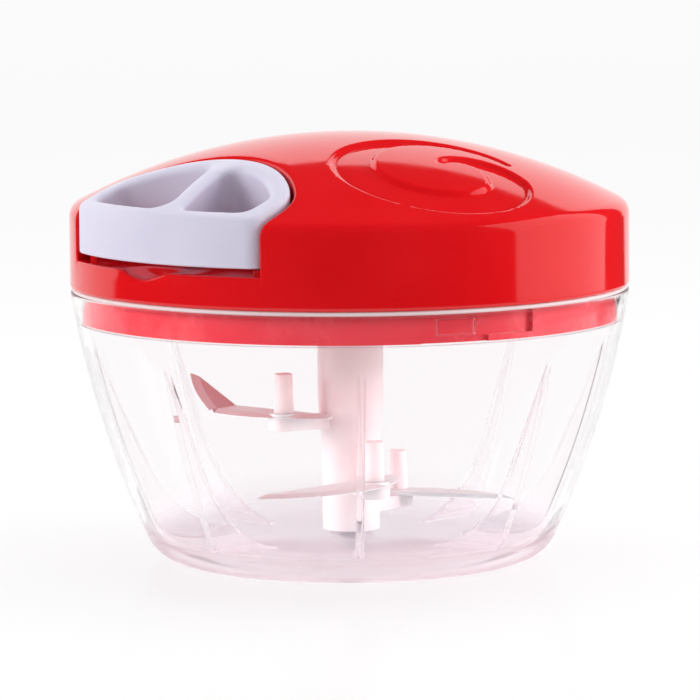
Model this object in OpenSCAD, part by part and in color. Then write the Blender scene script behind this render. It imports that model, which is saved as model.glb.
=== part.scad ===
// Hand food chopper that is worked by pulling a cord.
// A clear bowl, three curved blades on an upright hub, and a domed lid that holds the cord reel.
// Millimetres, +Z up, origin on the table under the middle of the bowl.
// Azimuths are in degrees from the pull direction (-Y), turning towards +X.

/* [Bowl] */

// Outer diameter of the bowl's rim and of the lid
body_d = 130; // [126:1:134]
// Height of the bowl from the table to its rim
bowl_h = 63; // [61:1:67]
// Thickness of the bowl's wall
bowl_wall = 2.4; // [2.2:0.1:2.6]
// Thickness of the rim round the lid's skirt
rim_wall = 2.7; // [2.5:0.1:2.9]
// Radius of the wall's bow, seen from the side
wall_bow_r = 225; // [205:5:250]
// Lean of the wall from upright, at the rim
rim_lean = 9; // [8.5:0.25:9.5]
// Radius of the rounded edge round the foot
foot_round = 9; // [8:0.5:10]
// Height of the inner floor above the table
floor_z = 4.4; // [4:0.1:5]
// Radius of the rounded corner inside the bowl
inner_round = 8; // [7:0.5:9]
// Width of the ring that the bowl stands on
foot_ring = 4; // [3:0.5:6]
// Depth of the hollow inside the foot ring
foot_hollow = 1.6; // [1:0.1:2]
// Number of fins on the inside of the bowl
fin_count = 8; // [4:1:8]
// Azimuth of the first fin
fin_az = 48; // [40:1:50]
// Thickness of a fin
fin_t = 1.6; // [1.2:0.1:2.4]
// Radius of the fins' curved free edge
fin_curve = 30.2; // [29:0.2:31.4]
// Distance of that curve's centre from the middle
fin_mid = 20; // [19:0.5:21]
// Lean of the fins' upper edge
fin_lean = 25; // [23:0.5:27]
// Width of a locking lug inside the rim
lug_w = 9; // [7:0.5:11]
// Height of a locking lug
lug_h = 3.5; // [3:0.1:4]
// Reach of a locking lug towards the middle
lug_reach = 1.2; // [1:0.1:1.4]
// Depth of the lugs' tops below the rim
lug_drop = 1.3; // [1:0.1:1.6]
// Azimuth of the first lug
lug_az = 67.7; // [60:0.1:70]
// Diameter of the steel pivot pin in the bowl's floor
pin_d = 5; // [4:0.5:6]
// Length of the pivot pin above the floor
pin_h = 12; // [10:0.5:14]
// Wall thickness of the pivot pin's boss
pin_wall = 2.4; // [2:0.1:2.8]

/* [Lid] */

// Thickness of the seal ring between rim and lid
seal_t = 1; // [0.8:0.1:1.4]
// Width of the seal ring
seal_w = 2; // [1.6:0.1:2.2]
// Height of the lid from its lower edge to its top
lid_h = 35.1; // [34.5:0.1:36.5]
// Radius of the lid's crown
crown_r = 136; // [132:1:142]
// Radius of the lid's rounded shoulder
shoulder_r = 4; // [3.4:0.1:5]
// Thickness of the lid's shell
lid_wall = 2.4; // [2.2:0.1:2.6]
// Depth of the lid's skirt inside the bowl
skirt_h = 7.6; // [7.4:0.1:8]
// Thickness of the skirt
skirt_wall = 2.2; // [2:0.1:2.6]
// Gap between skirt and rim
skirt_gap = 0.4; // [0.3:0.05:0.5]
// Height of the base plate above the skirt's lower edge
plate_rise = 0.8; // [0.6:0.1:1]
// Thickness of the base plate
plate_t = 2.4; // [2.2:0.1:2.6]
// Height of the ring that stands up inside the lid's shell
inner_ring_h = 4; // [3:0.5:4.5]
// Turn of the lid from seated to locked
lock_turn = 14; // [12:0.5:15]
// Width of the slots that let the lugs in
slot_w = 16; // [15:0.5:18]
// Distance of the lid screws from the middle
screw_ring_r = 50; // [48:0.5:52]
// Diameter of the lid screws' shanks
screw_d = 3; // [2.5:0.1:3.5]
// Diameter of the lid screws' heads
screw_head_d = 6; // [5.5:0.1:6.5]
// Length of the lid screws
screw_len = 16; // [14:0.5:18]
// Diameter of the bosses that take the lid screws
boss_d = 8.4; // [7.5:0.1:9]
// Diameter of the spiral ornament in the crown
spiral_d = 43; // [40:0.5:44]
// Depth of the spiral ornament
spiral_depth = 0.8; // [0.5:0.1:1]
// Width of the spiral ornament's track
spiral_w = 8; // [6:0.2:9]
// Azimuth of the spiral ornament's middle
spiral_az = 72; // [70:1:80]
// Distance of the spiral ornament's middle from the axis
spiral_r = 39; // [36:0.5:39.5]
// Angle at which the spiral ornament starts
spiral_start = 97; // [80:1:120]
// Angle that the spiral ornament turns through
spiral_sweep = 410; // [380:5:430]
// Distance of the spiral ornament's inner end from its middle
spiral_core = 4; // [3:0.5:6]

/* [Handle] */

// Width of the handle
handle_w = 59; // [57:0.5:61]
// Distance of the handle's back from the axis
handle_back = 34; // [33.5:0.25:35]
// Radius of the handle's back
handle_back_r = 40; // [37:0.5:42]
// Radius of the handle's rear corners
handle_corner_r = 10; // [9:0.5:11]
// Radius of the handle's front corners
handle_front_r = 4; // [3:0.5:5]
// Height of the handle's underside above the lid's lower edge
handle_rise = 9.2; // [8.8:0.1:9.6]
// Radius of the handle's curved top
handle_top_r = 155; // [150:1:165]
// Thickness of the handle's rim round the finger holes
handle_rim = 4.6; // [4:0.1:5]
// Thickness of the handle's front bar
handle_bar = 3.6; // [3.2:0.1:4.2]
// Thickness of the web between the finger holes
handle_web = 4.4; // [3.8:0.1:5]
// Turn of the web from the pull direction
web_turn = 21; // [16:1:23]
// Shift of the web's middle to the right
web_shift = 2.2; // [1.4:0.1:2.8]
// Radius of the finger holes' corners
finger_round = 3.4; // [2.6:0.2:3.8]
// Gap between the handle and its recess
handle_gap = 0.8; // [0.7:0.05:1]
// Gap between the handle's underside and the ledge below it
ledge_gap = 1.8; // [1.5:0.1:2.2]
// Width of the fingertip scoop in the ledge
scoop_w = 16; // [12:0.5:20]
// Depth of the fingertip scoop
scoop_depth = 1.8; // [1.2:0.1:2]
// Reach of the fingertip scoop in from the lid's side
scoop_reach = 9; // [7:0.5:10]
// Thickness of the recess's own walls
recess_wall = 2; // [1.8:0.1:2.2]
// Width of a rail under the handle
rail_w = 2.4; // [2:0.1:3]
// Distance between the two rails
rail_span = 54.4; // [53.6:0.2:55.2]
// Length of a rail
rail_len = 7; // [6:0.5:8]

/* [Cord and reel] */

// Diameter of the cord
cord_d = 2.2; // [2:0.1:2.4]
// Height of the cord above the handle's underside
cord_rise = 6; // [5.6:0.1:6.4]
// Gap between the cord's turns and the drum
wind_gap = 0.3; // [0.25:0.05:0.4]
// Gap between two turns of the cord
turn_gap = 0.5; // [0.45:0.05:0.6]
// Diameter of the reel's drum
drum_d = 32; // [30:0.5:33]
// Turns of cord on the reel
cord_turns = 4; // [3:0.5:4]
// Reach of the reel's flanges past the space of the spring
flange_over = 4; // [2:0.5:4.5]
// Thickness of the reel's flanges
flange_t = 1.6; // [1.4:0.1:1.8]
// Diameter of the knot that holds the cord in the handle
knot_d = 4.6; // [4.2:0.1:5]
// Gap round the knot in its pocket
knot_gap = 0.3; // [0.2:0.05:0.4]
// Wall thickness of the knot's pocket
pocket_wall = 1.6; // [1.2:0.1:2]
// Gap round the cord in the handle
cord_gap = 0.15; // [0.1:0.05:0.2]
// Inner diameter of the cord's eyelet
eyelet_d = 3; // [2.9:0.1:3.4]
// Wall thickness of the eyelet
eyelet_wall = 1.1; // [0.9:0.1:1.3]
// Diameter of the eyelet's flange
eyelet_flange_d = 7.6; // [7:0.1:8]
// Depth of the eyelet's flat seat in the recess's back
eyelet_seat = 0.15; // [0.1:0.05:0.3]
// Length of the eyelet's tube behind the recess's wall
eyelet_tail = 0.6; // [0.4:0.1:0.8]
// Diameter of the reel's arbor inside the spring
arbor_d = 10; // [9:0.5:11]
// Diameter of the steel axle
axle_d = 4; // [3.5:0.1:4.5]
// Inner diameter of the spring housing
housing_d = 44; // [42:0.5:46]
// Wall thickness of the spring housing
housing_wall = 1.6; // [1.4:0.1:1.8]
// Thickness of the spring housing's top
housing_lid_t = 1.6; // [1.4:0.1:1.8]
// Thickness of the plate that closes the spring housing
cover_t = 1; // [0.8:0.1:1.2]
// Gap above and below the spring
spring_gap = 0.5; // [0.4:0.05:0.6]
// Height of the spring's strip
spring_h = 6; // [5:0.5:7]
// Thickness of the spring's strip
spring_t = 0.5; // [0.4:0.05:0.6]
// Turns of the spring
spring_turns = 6; // [4:1:7]

/* [Drive shaft and blades] */

// Diameter of the drive shaft in its bush
shaft_d = 14; // [13:0.5:15]
// Diameter of the shaft's flange
shaft_flange_d = 24; // [23:0.5:25]
// Thickness of the shaft's flange
shaft_flange_t = 1.6; // [1.4:0.1:1.8]
// Wall thickness of the bush
bush_wall = 2; // [1.6:0.1:2.2]
// Thickness of the bush's flange
bush_flange_t = 1.2; // [1:0.1:1.4]
// Thickness of the thrust washer
washer_t = 0.6; // [0.5:0.1:0.8]
// Core diameter of the shaft's splined end
spline_core_d = 8; // [7.5:0.1:8.5]
// Outer diameter of the shaft's splined end
spline_d = 12; // [11.6:0.1:12.2]
// Length of the splined end
spline_len = 11; // [9:0.5:12]
// Diameter of the hub's upper part
hub_d = 15.4; // [15.2:0.1:16.5]
// Diameter of the hub's lower part
hub_low_d = 13.4; // [12.4:0.1:14]
// Gap between the hub's top and the lid's skirt level
hub_gap = 1.4; // [1:0.1:2]
// Gap under the hub
hub_lift = 2; // [1.6:0.1:2.4]
// Distance of the blades' pegs from the axis
peg_r = 17; // [16:0.25:18]
// Diameter of the pegs
peg_d = 4.7; // [4.2:0.1:5]
// Height of the pegs above the blades
peg_h = 9.2; // [8:0.2:10]
// Diameter of the pegs' shanks
peg_shank_d = 3; // [2.6:0.1:3.2]
// Width of the arms
arm_w = 6; // [5.5:0.1:7]
// Thickness of the arms
arm_t = 3; // [2.6:0.1:3.2]
// Thickness of the blades' steel
blade_t = 0.9; // [0.7:0.05:1.2]
// Radius of the blades' cutting edge
blade_curve = 32.6; // [32:0.2:33.2]
// Reach of the upper and front blades' tips from the axis
blade_reach = 43; // [42:0.25:43.5]
// Reach of the lower blade's tip from the axis
lower_reach = 38.6; // [37:0.2:39]
// Width of the ground bevel along the cutting edge
blade_bevel = 2; // [1.4:0.1:2.6]
// Height of the upper blade
upper_z = 33.5; // [32:0.5:35.5]
// Height of the front blade
front_z = 18.8; // [17.8:0.2:20]
// Height of the lower blade
lower_z = 12.6; // [12.2:0.2:13.4]
// Upward bend of the upper blade's tip
tip_bend = 28; // [10:1:35]
// Azimuth of the upper blade's arm
upper_az = -20; // [-30:1:-15]
// Azimuth of the front blade's arm
front_az = 64; // [55:1:70]
// Azimuth of the lower blade's arm
lower_az = 185; // [178:1:195]
// Length of a blade's tail behind its peg
blade_tail = 4.6; // [4.2:0.1:5]
// Length of a blade's heel behind its tail
blade_heel = 9; // [8.6:0.1:9.4]
// Distance of the upper blade's bend from the axis
tip_start = 26; // [24:0.5:28]
// Height of the blades' edge below the ground bevel
edge_land = 0.15; // [0.1:0.05:0.2]

/* [Small screws] */

// Diameter of the spring housing's screws
housing_screw_d = 2.4; // [2:0.1:2.6]
// Diameter of their heads
housing_head_d = 4.4; // [4:0.1:5]
// Height of their heads
housing_head_h = 1.4; // [1:0.1:1.8]
// Depth of their ends in the lid
housing_grip = 3; // [2.4:0.1:3.4]
// Radius of the spring housing's ears round its screws
ear_round = 3; // [2.8:0.1:3.2]
// Thickness of the ears
ear_t = 2.4; // [2:0.1:2.8]
// Diameter of the drive shaft's screws
shaft_screw_d = 2; // [1.8:0.1:2.4]
// Diameter of their heads
shaft_head_d = 3.6; // [3.2:0.1:4]
// Height of their heads
shaft_head_h = 0.8; // [0.6:0.1:1]
// Length of the drive shaft's screws
shaft_screw_len = 6.5; // [5.5:0.1:7]

/* [Fits] */

// Radial gap of pieces that are fixed in a hole
slip = 0.05; // [0.03:0.01:0.08]
// Radial gap of pieces that turn in a hole
run_gap = 0.08; // [0.05:0.01:0.1]
// Gap between moving pieces
free_gap = 0.4; // [0.35:0.05:0.5]
// Gap between the splined end and the hub
spline_gap = 0.3; // [0.25:0.05:0.35]
// Inset of the seal from the lid's side
seal_inset = 0.3; // [0.2:0.05:0.4]

/* [Hidden] */

$fn = 96;
body_r = body_d / 2;
// Angle between three of a kind, and azimuth of the lid's first screw
third = 120;
screw_az = 60;
// Height of cuts that pass right through the lid
tall = 60;
// Overlap of shapes that are one piece
weld = 0.5;

// Bowl: centre of the wall's bow, and the foot
bow_x = body_r - wall_bow_r * cos(rim_lean);
bow_z = bowl_h + wall_bow_r * sin(rim_lean);
function corner_x(inset, z0, round) =
    bow_x + sqrt(pow(wall_bow_r - inset - round, 2) - pow(bow_z - z0 - round, 2));
foot_r = corner_x(0, 0, foot_round);
socket_r = body_r - rim_wall;

// Lid: heights, and the centre of the crown
lid_z = bowl_h + seal_t;
skirt_z = lid_z - skirt_h;
plate_z = skirt_z + plate_rise;
plate_top = plate_z + plate_t;
post_top = lid_z + 1;
shoulder_x = body_r - shoulder_r;
crown_z = lid_z + lid_h - crown_r;
shoulder_z = crown_z + sqrt(pow(crown_r - shoulder_r, 2) - pow(shoulder_x, 2));
skirt_r = socket_r - skirt_gap;
lid_inner_r = body_r - lid_wall;
function crown_at(r) = crown_z + sqrt(pow(crown_r, 2) - r * r);
lug_z = bowl_h - lug_drop - lug_h;
lug_half = asin(lug_w / 2 / socket_r);
slot_half = asin(slot_w / 2 / skirt_r);

// Handle: heights, and the middles of its arcs
handle_z = lid_z + handle_rise;
ledge_z = handle_z - ledge_gap;
handle_top_z = crown_at(handle_back) + handle_top_r - sqrt(pow(handle_top_r, 2) - pow(handle_back, 2));
back_x = handle_back + handle_back_r;
side_y = handle_w / 2;
// A corner's round is this much larger, so that it crosses the sides instead of touching them
corner_ease = 0.02;
corner_y = side_y - handle_corner_r;
corner_u = back_x - sqrt(pow(handle_back_r - handle_corner_r, 2) - pow(corner_y, 2));
front_y = side_y - handle_front_r;
front_u = sqrt(pow(body_r - handle_front_r, 2) - pow(front_y, 2));
cord_z = handle_z + cord_rise;
pocket_u = handle_back + handle_rim + knot_d / 2;
pocket_r = knot_d / 2 + knot_gap;

// Reel: heights, and the cord's way from the drum to the eyelet
cord_r = cord_d / 2;
flange_d = housing_d + 2 * flange_over;
wind_r = drum_d / 2 + cord_r + wind_gap;
wind_pitch = cord_d + turn_gap;
channel_top = cord_z + cord_r + wind_gap;
channel_z = cord_z - cord_turns * wind_pitch - cord_r - wind_gap;
reel_z = channel_z - flange_t;
reel_top = channel_top + flange_t;
eyelet_flange_t = handle_gap - free_gap;
seat_u = handle_back - handle_gap - eyelet_seat;
bend_y = handle_back - handle_gap - recess_wall - 3.2;
leave_angle = acos(wind_r / bend_y);
housing_z = reel_top + free_gap;
spring_z = housing_z + cover_t + spring_gap;
housing_top = spring_z + spring_h + spring_gap;
arbor_top = housing_top - free_gap;
boss_z = housing_top + housing_lid_t;
ear_r = housing_d / 2 + housing_wall + ear_round + free_gap;

// The turns of cord on the drum, from the lowest to the one that leaves
wind_path = [for (i = [cord_turns * 24 : -1 : 0])
    let (a = -leave_angle - 15 * i - 90)
    [wind_r * cos(a), wind_r * sin(a), cord_z - wind_pitch * i / 24]];

// The cord from the drum through the eyelet
bend_r = 5;
bend_turn = 90 - leave_angle;
bend_in = bend_r * tan(bend_turn / 2);
leave_point = wind_r * [-sin(leave_angle), -cos(leave_angle)];
run_dir = unit([0, -bend_y] - leave_point);
run_path = concat(
    [for (t = [0.6, norm([0, -bend_y] - leave_point) - bend_in])
        [leave_point[0] + t * run_dir[0], leave_point[1] + t * run_dir[1], cord_z]],
    [for (i = [1 : 8])
        let (a = bend_turn * (1 - i / 8))
        [-bend_r * (1 - cos(a)), -bend_y - bend_in + bend_r * sin(a), cord_z]],
    [[0, -handle_back + 0.4, cord_z]]);

// Drive shaft and hub: heights
shaft_top = reel_z;
washer_top = shaft_top - shaft_flange_t;
bush_top = washer_top - washer_t;
collar_top = bush_top - bush_flange_t;
bush_r = shaft_d / 2 + run_gap + bush_wall;
hub_top = skirt_z - hub_gap;
hub_z = floor_z + hub_lift;
shaft_end = hub_top - spline_len;
socket_floor = shaft_end - 1.6;
pin_base = foot_hollow + 1;
pin_seat = pin_base + 0.6;
pin_top = floor_z + pin_h;
spline_rib = 20;
shaft_screw_r = (shaft_d + shaft_flange_d) / 4;

// Blade outline, in a frame with the arm along +X
blade_sweep = 48;
edge_angle = 18.4;
tail = [peg_r - blade_tail, 0];
function tip(reach) = reach * [cos(blade_sweep), -sin(blade_sweep)];
function edge_mid(reach) = tip(reach) - blade_curve * [cos(edge_angle), -sin(edge_angle)];

// Turns a shape made along +X to an azimuth
module at_az(a) {
    rotate([0, 0, a - 90])
        children();
}

// A ring sector from azimuth a0 to a1
module sector(r0, r1, z0, z1, a0, a1) {
    rotate([0, 0, a0 - 90])
        rotate_extrude(angle = a1 - a0)
            translate([r0, z0])
                square([r1 - r0, z1 - z0]);
}

// A hollow cylinder
module pipe(r0, r1, z0, z1) {
    translate([0, 0, z0])
        difference() {
            cylinder(r = r1, h = z1 - z0);
            translate([0, 0, -1])
                cylinder(r = r0, h = z1 - z0 + 2);
        }
}

// A round tube of n sides along a path
function unit(v) = v / norm(v);
function along(path, k) = unit(path[min(k + 1, len(path) - 1)] - path[max(k - 1, 0)]);
function ring(p, t, r, n) =
    let (s = unit(cross(t, [0, 0, 1])), q = cross(s, t))
    [for (i = [0 : n - 1]) p + r * cos(360 * i / n) * s + r * sin(360 * i / n) * q];
module tube(path, r, n) {
    last = len(path) - 1;
    points = [for (k = [0 : last]) each ring(path[k], along(path, k), r, n)];
    sides = [for (k = [0 : last - 1]) for (i = [0 : n - 1])
        each [[k * n + i, k * n + (i + 1) % n, (k + 1) * n + (i + 1) % n],
            [k * n + i, (k + 1) * n + (i + 1) % n, (k + 1) * n + i]]];
    first_cap = [[for (i = [n - 1 : -1 : 0]) i]];
    last_cap = [[for (i = [0 : n - 1]) last * n + i]];
    polyhedron(points, concat(first_cap, sides, last_cap));
}

// Half outline of the bowl's filled shape, set in from the outer face
module bowl_shape(inset, z0, round) {
    cx = corner_x(inset, z0, round);
    cz = z0 + round;
    far = 1.2 * wall_bow_r;
    reach = norm([cx - bow_x, cz - bow_z]);
    intersection() {
        translate([bow_x, bow_z])
            circle(r = wall_bow_r - inset);
        polygon([[bow_x, bow_z], [bow_x, bow_z] + far / reach * [cx - bow_x, cz - bow_z],
            [bow_x + far, bow_z]]);
        translate([0, z0])
            square([body_r + 5, bowl_h - z0]);
    }
    translate([0, z0])
        square([cx, bowl_h / 2]);
    translate([cx, cz])
        circle(r = round);
}

// Outline of one fin, from its lower horn to its top
module fin_shape() {
    cz = floor_z + fin_curve;
    leave = [fin_mid + fin_curve * cos(fin_lean), cz - fin_curve * sin(fin_lean)];
    difference() {
        intersection() {
            bowl_shape(bowl_wall / 2, floor_z / 2 + foot_hollow / 2, inner_round);
            translate([fin_mid + 6, foot_hollow + 1])
                square([body_r, bowl_h - foot_hollow - 9]);
        }
        translate([fin_mid, cz])
            circle(r = fin_curve);
        polygon([[0, leave[1]], leave, leave + tall * [sin(fin_lean), cos(fin_lean)],
            [0, leave[1] + tall]]);
    }
}

module bowl() {
    color([0.93, 0.93, 0.96, 0.3])
    union() {
        difference() {
            union() {
                rotate_extrude()
                    difference() {
                        bowl_shape(0, 0, foot_round);
                        bowl_shape(bowl_wall, floor_z, inner_round);
                    }
                for (i = [0 : fin_count - 1])
                    at_az(fin_az + i * 360 / fin_count)
                        rotate([90, 0, 0])
                            translate([0, 0, -fin_t / 2])
                                linear_extrude(fin_t)
                                    fin_shape();
                translate([0, 0, pin_base])
                    cylinder(r = pin_d / 2 + pin_wall, h = hub_z - free_gap - pin_base);
            }
            translate([0, 0, skirt_z - free_gap])
                cylinder(r = socket_r, h = skirt_h + 5);
            translate([0, 0, -1])
                cylinder(r = foot_r - foot_ring, h = foot_hollow + 1);
            translate([0, 0, pin_seat])
                cylinder(r = pin_d / 2 + slip, h = bowl_h);
        }
        for (i = [0 : 2])
            sector(socket_r - lug_reach, socket_r + 0.6, lug_z, lug_z + lug_h,
                lug_az + i * third - lug_half, lug_az + i * third + lug_half);
    }
}

module pivot_pin() {
    color([0.75, 0.76, 0.78])
    union() {
        translate([0, 0, pin_seat])
            cylinder(r = pin_d / 2, h = pin_top - pin_seat - pin_d / 2);
        intersection() {
            translate([0, 0, pin_top - pin_d / 2])
                sphere(r = pin_d / 2);
            translate([0, 0, pin_top - pin_d / 2 + pin_d])
                cube([2 * pin_d, 2 * pin_d, 2 * pin_d], center = true);
        }
    }
}

// One arm from the hub to the foot of a peg
module arm(a, z) {
    at_az(a)
        translate([0, 0, z - arm_t])
            union() {
                translate([hub_low_d / 2 - 2, -arm_w / 2, 0])
                    cube([peg_r - hub_low_d / 2 + 2, arm_w, arm_t]);
                translate([peg_r, 0, 0])
                    cylinder(r = arm_w / 2 + 0.6, h = arm_t);
            }
}

module blade_hub() {
    color([0.95, 0.9, 0.92])
    difference() {
        union() {
            rotate_extrude()
                polygon([[0, hub_z], [hub_low_d / 2, hub_z], [hub_low_d / 2, upper_z - arm_t - 4],
                    [hub_d / 2, upper_z + 2], [hub_d / 2, hub_top], [0, hub_top]]);
            arm(upper_az, upper_z);
            arm(front_az, front_z);
            arm(lower_az, lower_z);
        }
        difference() {
            translate([0, 0, socket_floor])
                cylinder(r = spline_d / 2 + spline_gap, h = hub_top);
            for (i = [0 : 2])
                sector(spline_core_d / 2 + spline_gap, hub_d, socket_floor - 1, hub_top + 1,
                    i * third + 50, i * third + 70);
        }
        translate([0, 0, hub_z - 1])
            cylinder(r = pin_d / 2 + run_gap, h = pin_top + 0.6 - hub_z + 1);
        for (p = [[upper_az, upper_z], [front_az, front_z], [lower_az, lower_z]])
            at_az(p[0])
                translate([peg_r, 0, p[1] - arm_t - 1])
                    cylinder(r = peg_shank_d / 2 + slip, h = arm_t + 2);
    }
}

// Outline of one blade: a curved cutting edge and a straight back
module blade_shape(reach) {
    end = tip(reach);
    back = unit(tail - end);
    heel = tail + blade_heel * back;
    side = 40 * [back[1], -back[0]];
    union() {
        intersection() {
            translate(edge_mid(reach))
                circle(r = blade_curve);
            polygon([end - 20 * back, heel, heel + side, end - 20 * back + side]);
        }
        translate([peg_r, 0])
            circle(r = arm_w / 2 + 0.4);
    }
}

// One flat blade with its ground edge and the hole for its peg
module flat_blade(reach) {
    mid = edge_mid(reach);
    difference() {
        linear_extrude(blade_t)
            blade_shape(reach);
        translate([mid[0], mid[1], 0])
            difference() {
                translate([0, 0, -1])
                    cylinder(r = blade_curve + 9, h = blade_t + 2);
                translate([0, 0, edge_land])
                    cylinder(r1 = blade_curve, r2 = blade_curve - blade_bevel, h = blade_t - edge_land);
                translate([0, 0, -1])
                    cylinder(r = blade_curve + 1, h = 1 + edge_land);
                translate([peg_r - mid[0], -mid[1], -2])
                    cylinder(r = arm_w / 2 + 0.4, h = blade_t + 4);
            }
        translate([peg_r, 0, -1])
            cylinder(r = peg_shank_d / 2 + slip, h = blade_t + 2);
    }
}

// A blade whose outer part is bent upwards across a line
module bent_blade(reach) {
    turn = -62;
    union() {
        intersection() {
            flat_blade(reach);
            rotate([0, 0, turn])
                translate([-tall, -tall, -2])
                    cube([tall + tip_start, 2 * tall, 6]);
        }
        rotate([0, 0, turn])
            translate([tip_start, 0, blade_t / 2])
                rotate([0, -tip_bend, 0])
                    translate([-tip_start, 0, -blade_t / 2])
                        intersection() {
                            rotate([0, 0, -turn])
                                flat_blade(reach);
                            translate([tip_start, -tall, -2])
                                cube([tall, 2 * tall, 6]);
                        }
        intersection() {
            rotate([0, 0, turn])
                translate([tip_start, 0, blade_t / 2])
                    rotate([90, 0, 0])
                        cylinder(r = blade_t / 2, h = 2 * tall, center = true);
            translate([0, 0, -2])
                linear_extrude(6)
                    blade_shape(reach);
        }
    }
}

module upper_blade() {
    color([0.7, 0.71, 0.73])
    at_az(upper_az)
        translate([0, 0, upper_z])
            bent_blade(blade_reach);
}

module front_blade() {
    color([0.7, 0.71, 0.73])
    at_az(front_az)
        translate([0, 0, front_z])
            flat_blade(blade_reach);
}

module lower_blade() {
    color([0.7, 0.71, 0.73])
    at_az(lower_az)
        translate([0, 0, lower_z])
            flat_blade(lower_reach);
}

module blade_pegs() {
    color([0.95, 0.88, 0.9])
    for (p = [[upper_az, upper_z], [front_az, front_z], [lower_az, lower_z]])
        at_az(p[0])
            translate([peg_r, 0, p[1]])
                union() {
                    translate([0, 0, -arm_t])
                        cylinder(r = peg_shank_d / 2, h = arm_t + blade_t + 1);
                    translate([0, 0, blade_t])
                        cylinder(r1 = peg_d / 2, r2 = peg_d / 2 - 0.3, h = peg_h);
                }
}

module lid_seal() {
    color([0.95, 0.9, 0.9])
    rotate_extrude()
        union() {
            translate([body_r - seal_w - seal_inset, bowl_h])
                square([seal_w - seal_t / 2, seal_t]);
            translate([body_r - seal_inset - seal_t / 2, bowl_h + seal_t / 2])
                circle(r = seal_t / 2);
        }
}

// Half outline of the lid's filled dome
module dome_shape() {
    reach = crown_r + 20;
    slope = norm([shoulder_x, shoulder_z - crown_z]);
    intersection() {
        translate([0, crown_z])
            circle(r = crown_r);
        polygon([[0, crown_z], [0, crown_z + reach],
            [0, crown_z] + reach / slope * [shoulder_x, shoulder_z - crown_z]]);
        translate([0, lid_z])
            square([body_r + 5, 80]);
    }
    translate([0, lid_z])
        square([body_r, shoulder_z - lid_z]);
    translate([shoulder_x, shoulder_z])
        circle(r = shoulder_r);
}

// Plan of the handle, grown by g, with an open front and the pull along +X
module recess_shape(g) {
    difference() {
        intersection() {
            translate([back_x, 0])
                circle(r = handle_back_r + g);
            translate([handle_back - g - 1, -side_y - g])
                square([body_r + 12, 2 * side_y + 2 * g]);
        }
        for (s = [-1, 1])
            corner_cut([corner_u, s * corner_y], unit([corner_u - back_x, s * corner_y]), [0, s],
                handle_corner_r + g);
    }
}

// What rounding by r takes off a corner, round c between the directions a and b
module corner_cut(c, a, b, r) {
    reach = 2 * r / norm(a + b) + 2;
    difference() {
        polygon([c, c + r * a, c + reach * unit(a + b), c + r * b]);
        translate(c)
            circle(r = r + corner_ease);
    }
}

// Plan of the handle, with rounded front corners
module handle_shape() {
    difference() {
        intersection() {
            recess_shape(0);
            circle(r = body_r);
        }
        for (s = [-1, 1])
            corner_cut([front_u, s * front_y], unit([front_u, s * front_y]), [0, s], handle_front_r);
    }
}

// Where a line from p along d meets the circle of radius r about c
function line_circle(p, d, c, r) =
    let (b = (p - c) * d)
    p + (sqrt(b * b - (p - c) * (p - c) + r * r) - b) * d;

// Plan of one finger hole, on the side s
module finger_shape(s) {
    d = [cos(s * web_turn), sin(s * web_turn)];
    n = [-d[1], d[0]];
    web_mid = [(handle_back + body_r) / 2, s * web_shift];
    web_line = web_mid + (handle_web / 2 + finger_round) * n;
    bar_r = body_r - handle_bar;
    wall_y = side_y - handle_rim - finger_round;
    web_front = line_circle(web_line, d, [0, 0], bar_r - finger_round);
    web_back = line_circle(web_line, -d, [back_x, 0], handle_back_r - handle_rim - finger_round);
    bar_end = [sqrt(pow(bar_r - finger_round, 2) - pow(wall_y, 2)), wall_y];
    mirror([0, s > 0 ? 0 : 1])
        difference() {
            intersection() {
                recess_shape(-handle_rim);
                circle(r = bar_r);
                translate(web_mid)
                    rotate(s * web_turn)
                        translate([-body_r, handle_web / 2])
                            square([2 * body_r, body_r]);
            }
            corner_cut(web_front, -n, unit(web_front), finger_round);
            corner_cut(bar_end, unit(bar_end), [0, 1], finger_round);
            corner_cut(web_back, unit(web_back - [back_x, 0]), -n, finger_round);
        }
}

// Track of the spiral ornament
function spiral_mid(t) =
    let (a = spiral_start + t * spiral_sweep, r = (spiral_d - spiral_w) / 2)
    (r - (r - spiral_core) * pow(t, 5)) * [cos(a), sin(a)];
function spiral_point(t, side) =
    let (w = spiral_w / 2 * min(1, 2.6 * t + 0.1, 4 * (1 - t) + 0.15),
        d = unit(spiral_mid(t + 0.005) - spiral_mid(t - 0.005)))
    spiral_mid(t) + side * w * [d[1], -d[0]];
module spiral_shape() {
    steps = 60;
    polygon(concat([for (i = [0 : steps]) spiral_point(i / steps, 1)],
        [for (i = [steps : -1 : 0]) spiral_point(i / steps, -1)]));
}

// Hollow of the lid, less the recess's own walls and the bosses for the screws and the axle
module lid_cavity() {
    difference() {
        intersection() {
            translate([0, 0, crown_z])
                sphere(r = crown_r - lid_wall);
            translate([0, 0, lid_z - 1])
                cylinder(r = lid_inner_r, h = tall);
        }
        at_az(0)
            translate([0, 0, ledge_z - recess_wall])
                linear_extrude(tall)
                    recess_shape(handle_gap + recess_wall);
        for (i = [0 : 2])
            at_az(screw_az + i * third)
                translate([screw_ring_r, 0, post_top])
                    cylinder(r = boss_d / 2, h = tall);
        for (i = [0 : 2])
            at_az(screw_az + i * third)
                translate([ear_r, 0, housing_top])
                    cylinder(r = ear_round, h = tall);
        translate([0, 0, boss_z])
            cylinder(r = axle_d / 2 + 3, h = tall);
    }
}

// Space of the recess, less the two rails under the handle
module recess_space() {
    difference() {
        at_az(0)
            translate([0, 0, ledge_z])
                linear_extrude(tall)
                    recess_shape(handle_gap);
        for (s = [-1, 1])
            at_az(0)
                translate([corner_u - 3, s * rail_span / 2 - rail_w / 2, ledge_z - 1])
                    cube([rail_len, rail_w, ledge_gap + 1 - free_gap]);
    }
}

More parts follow.
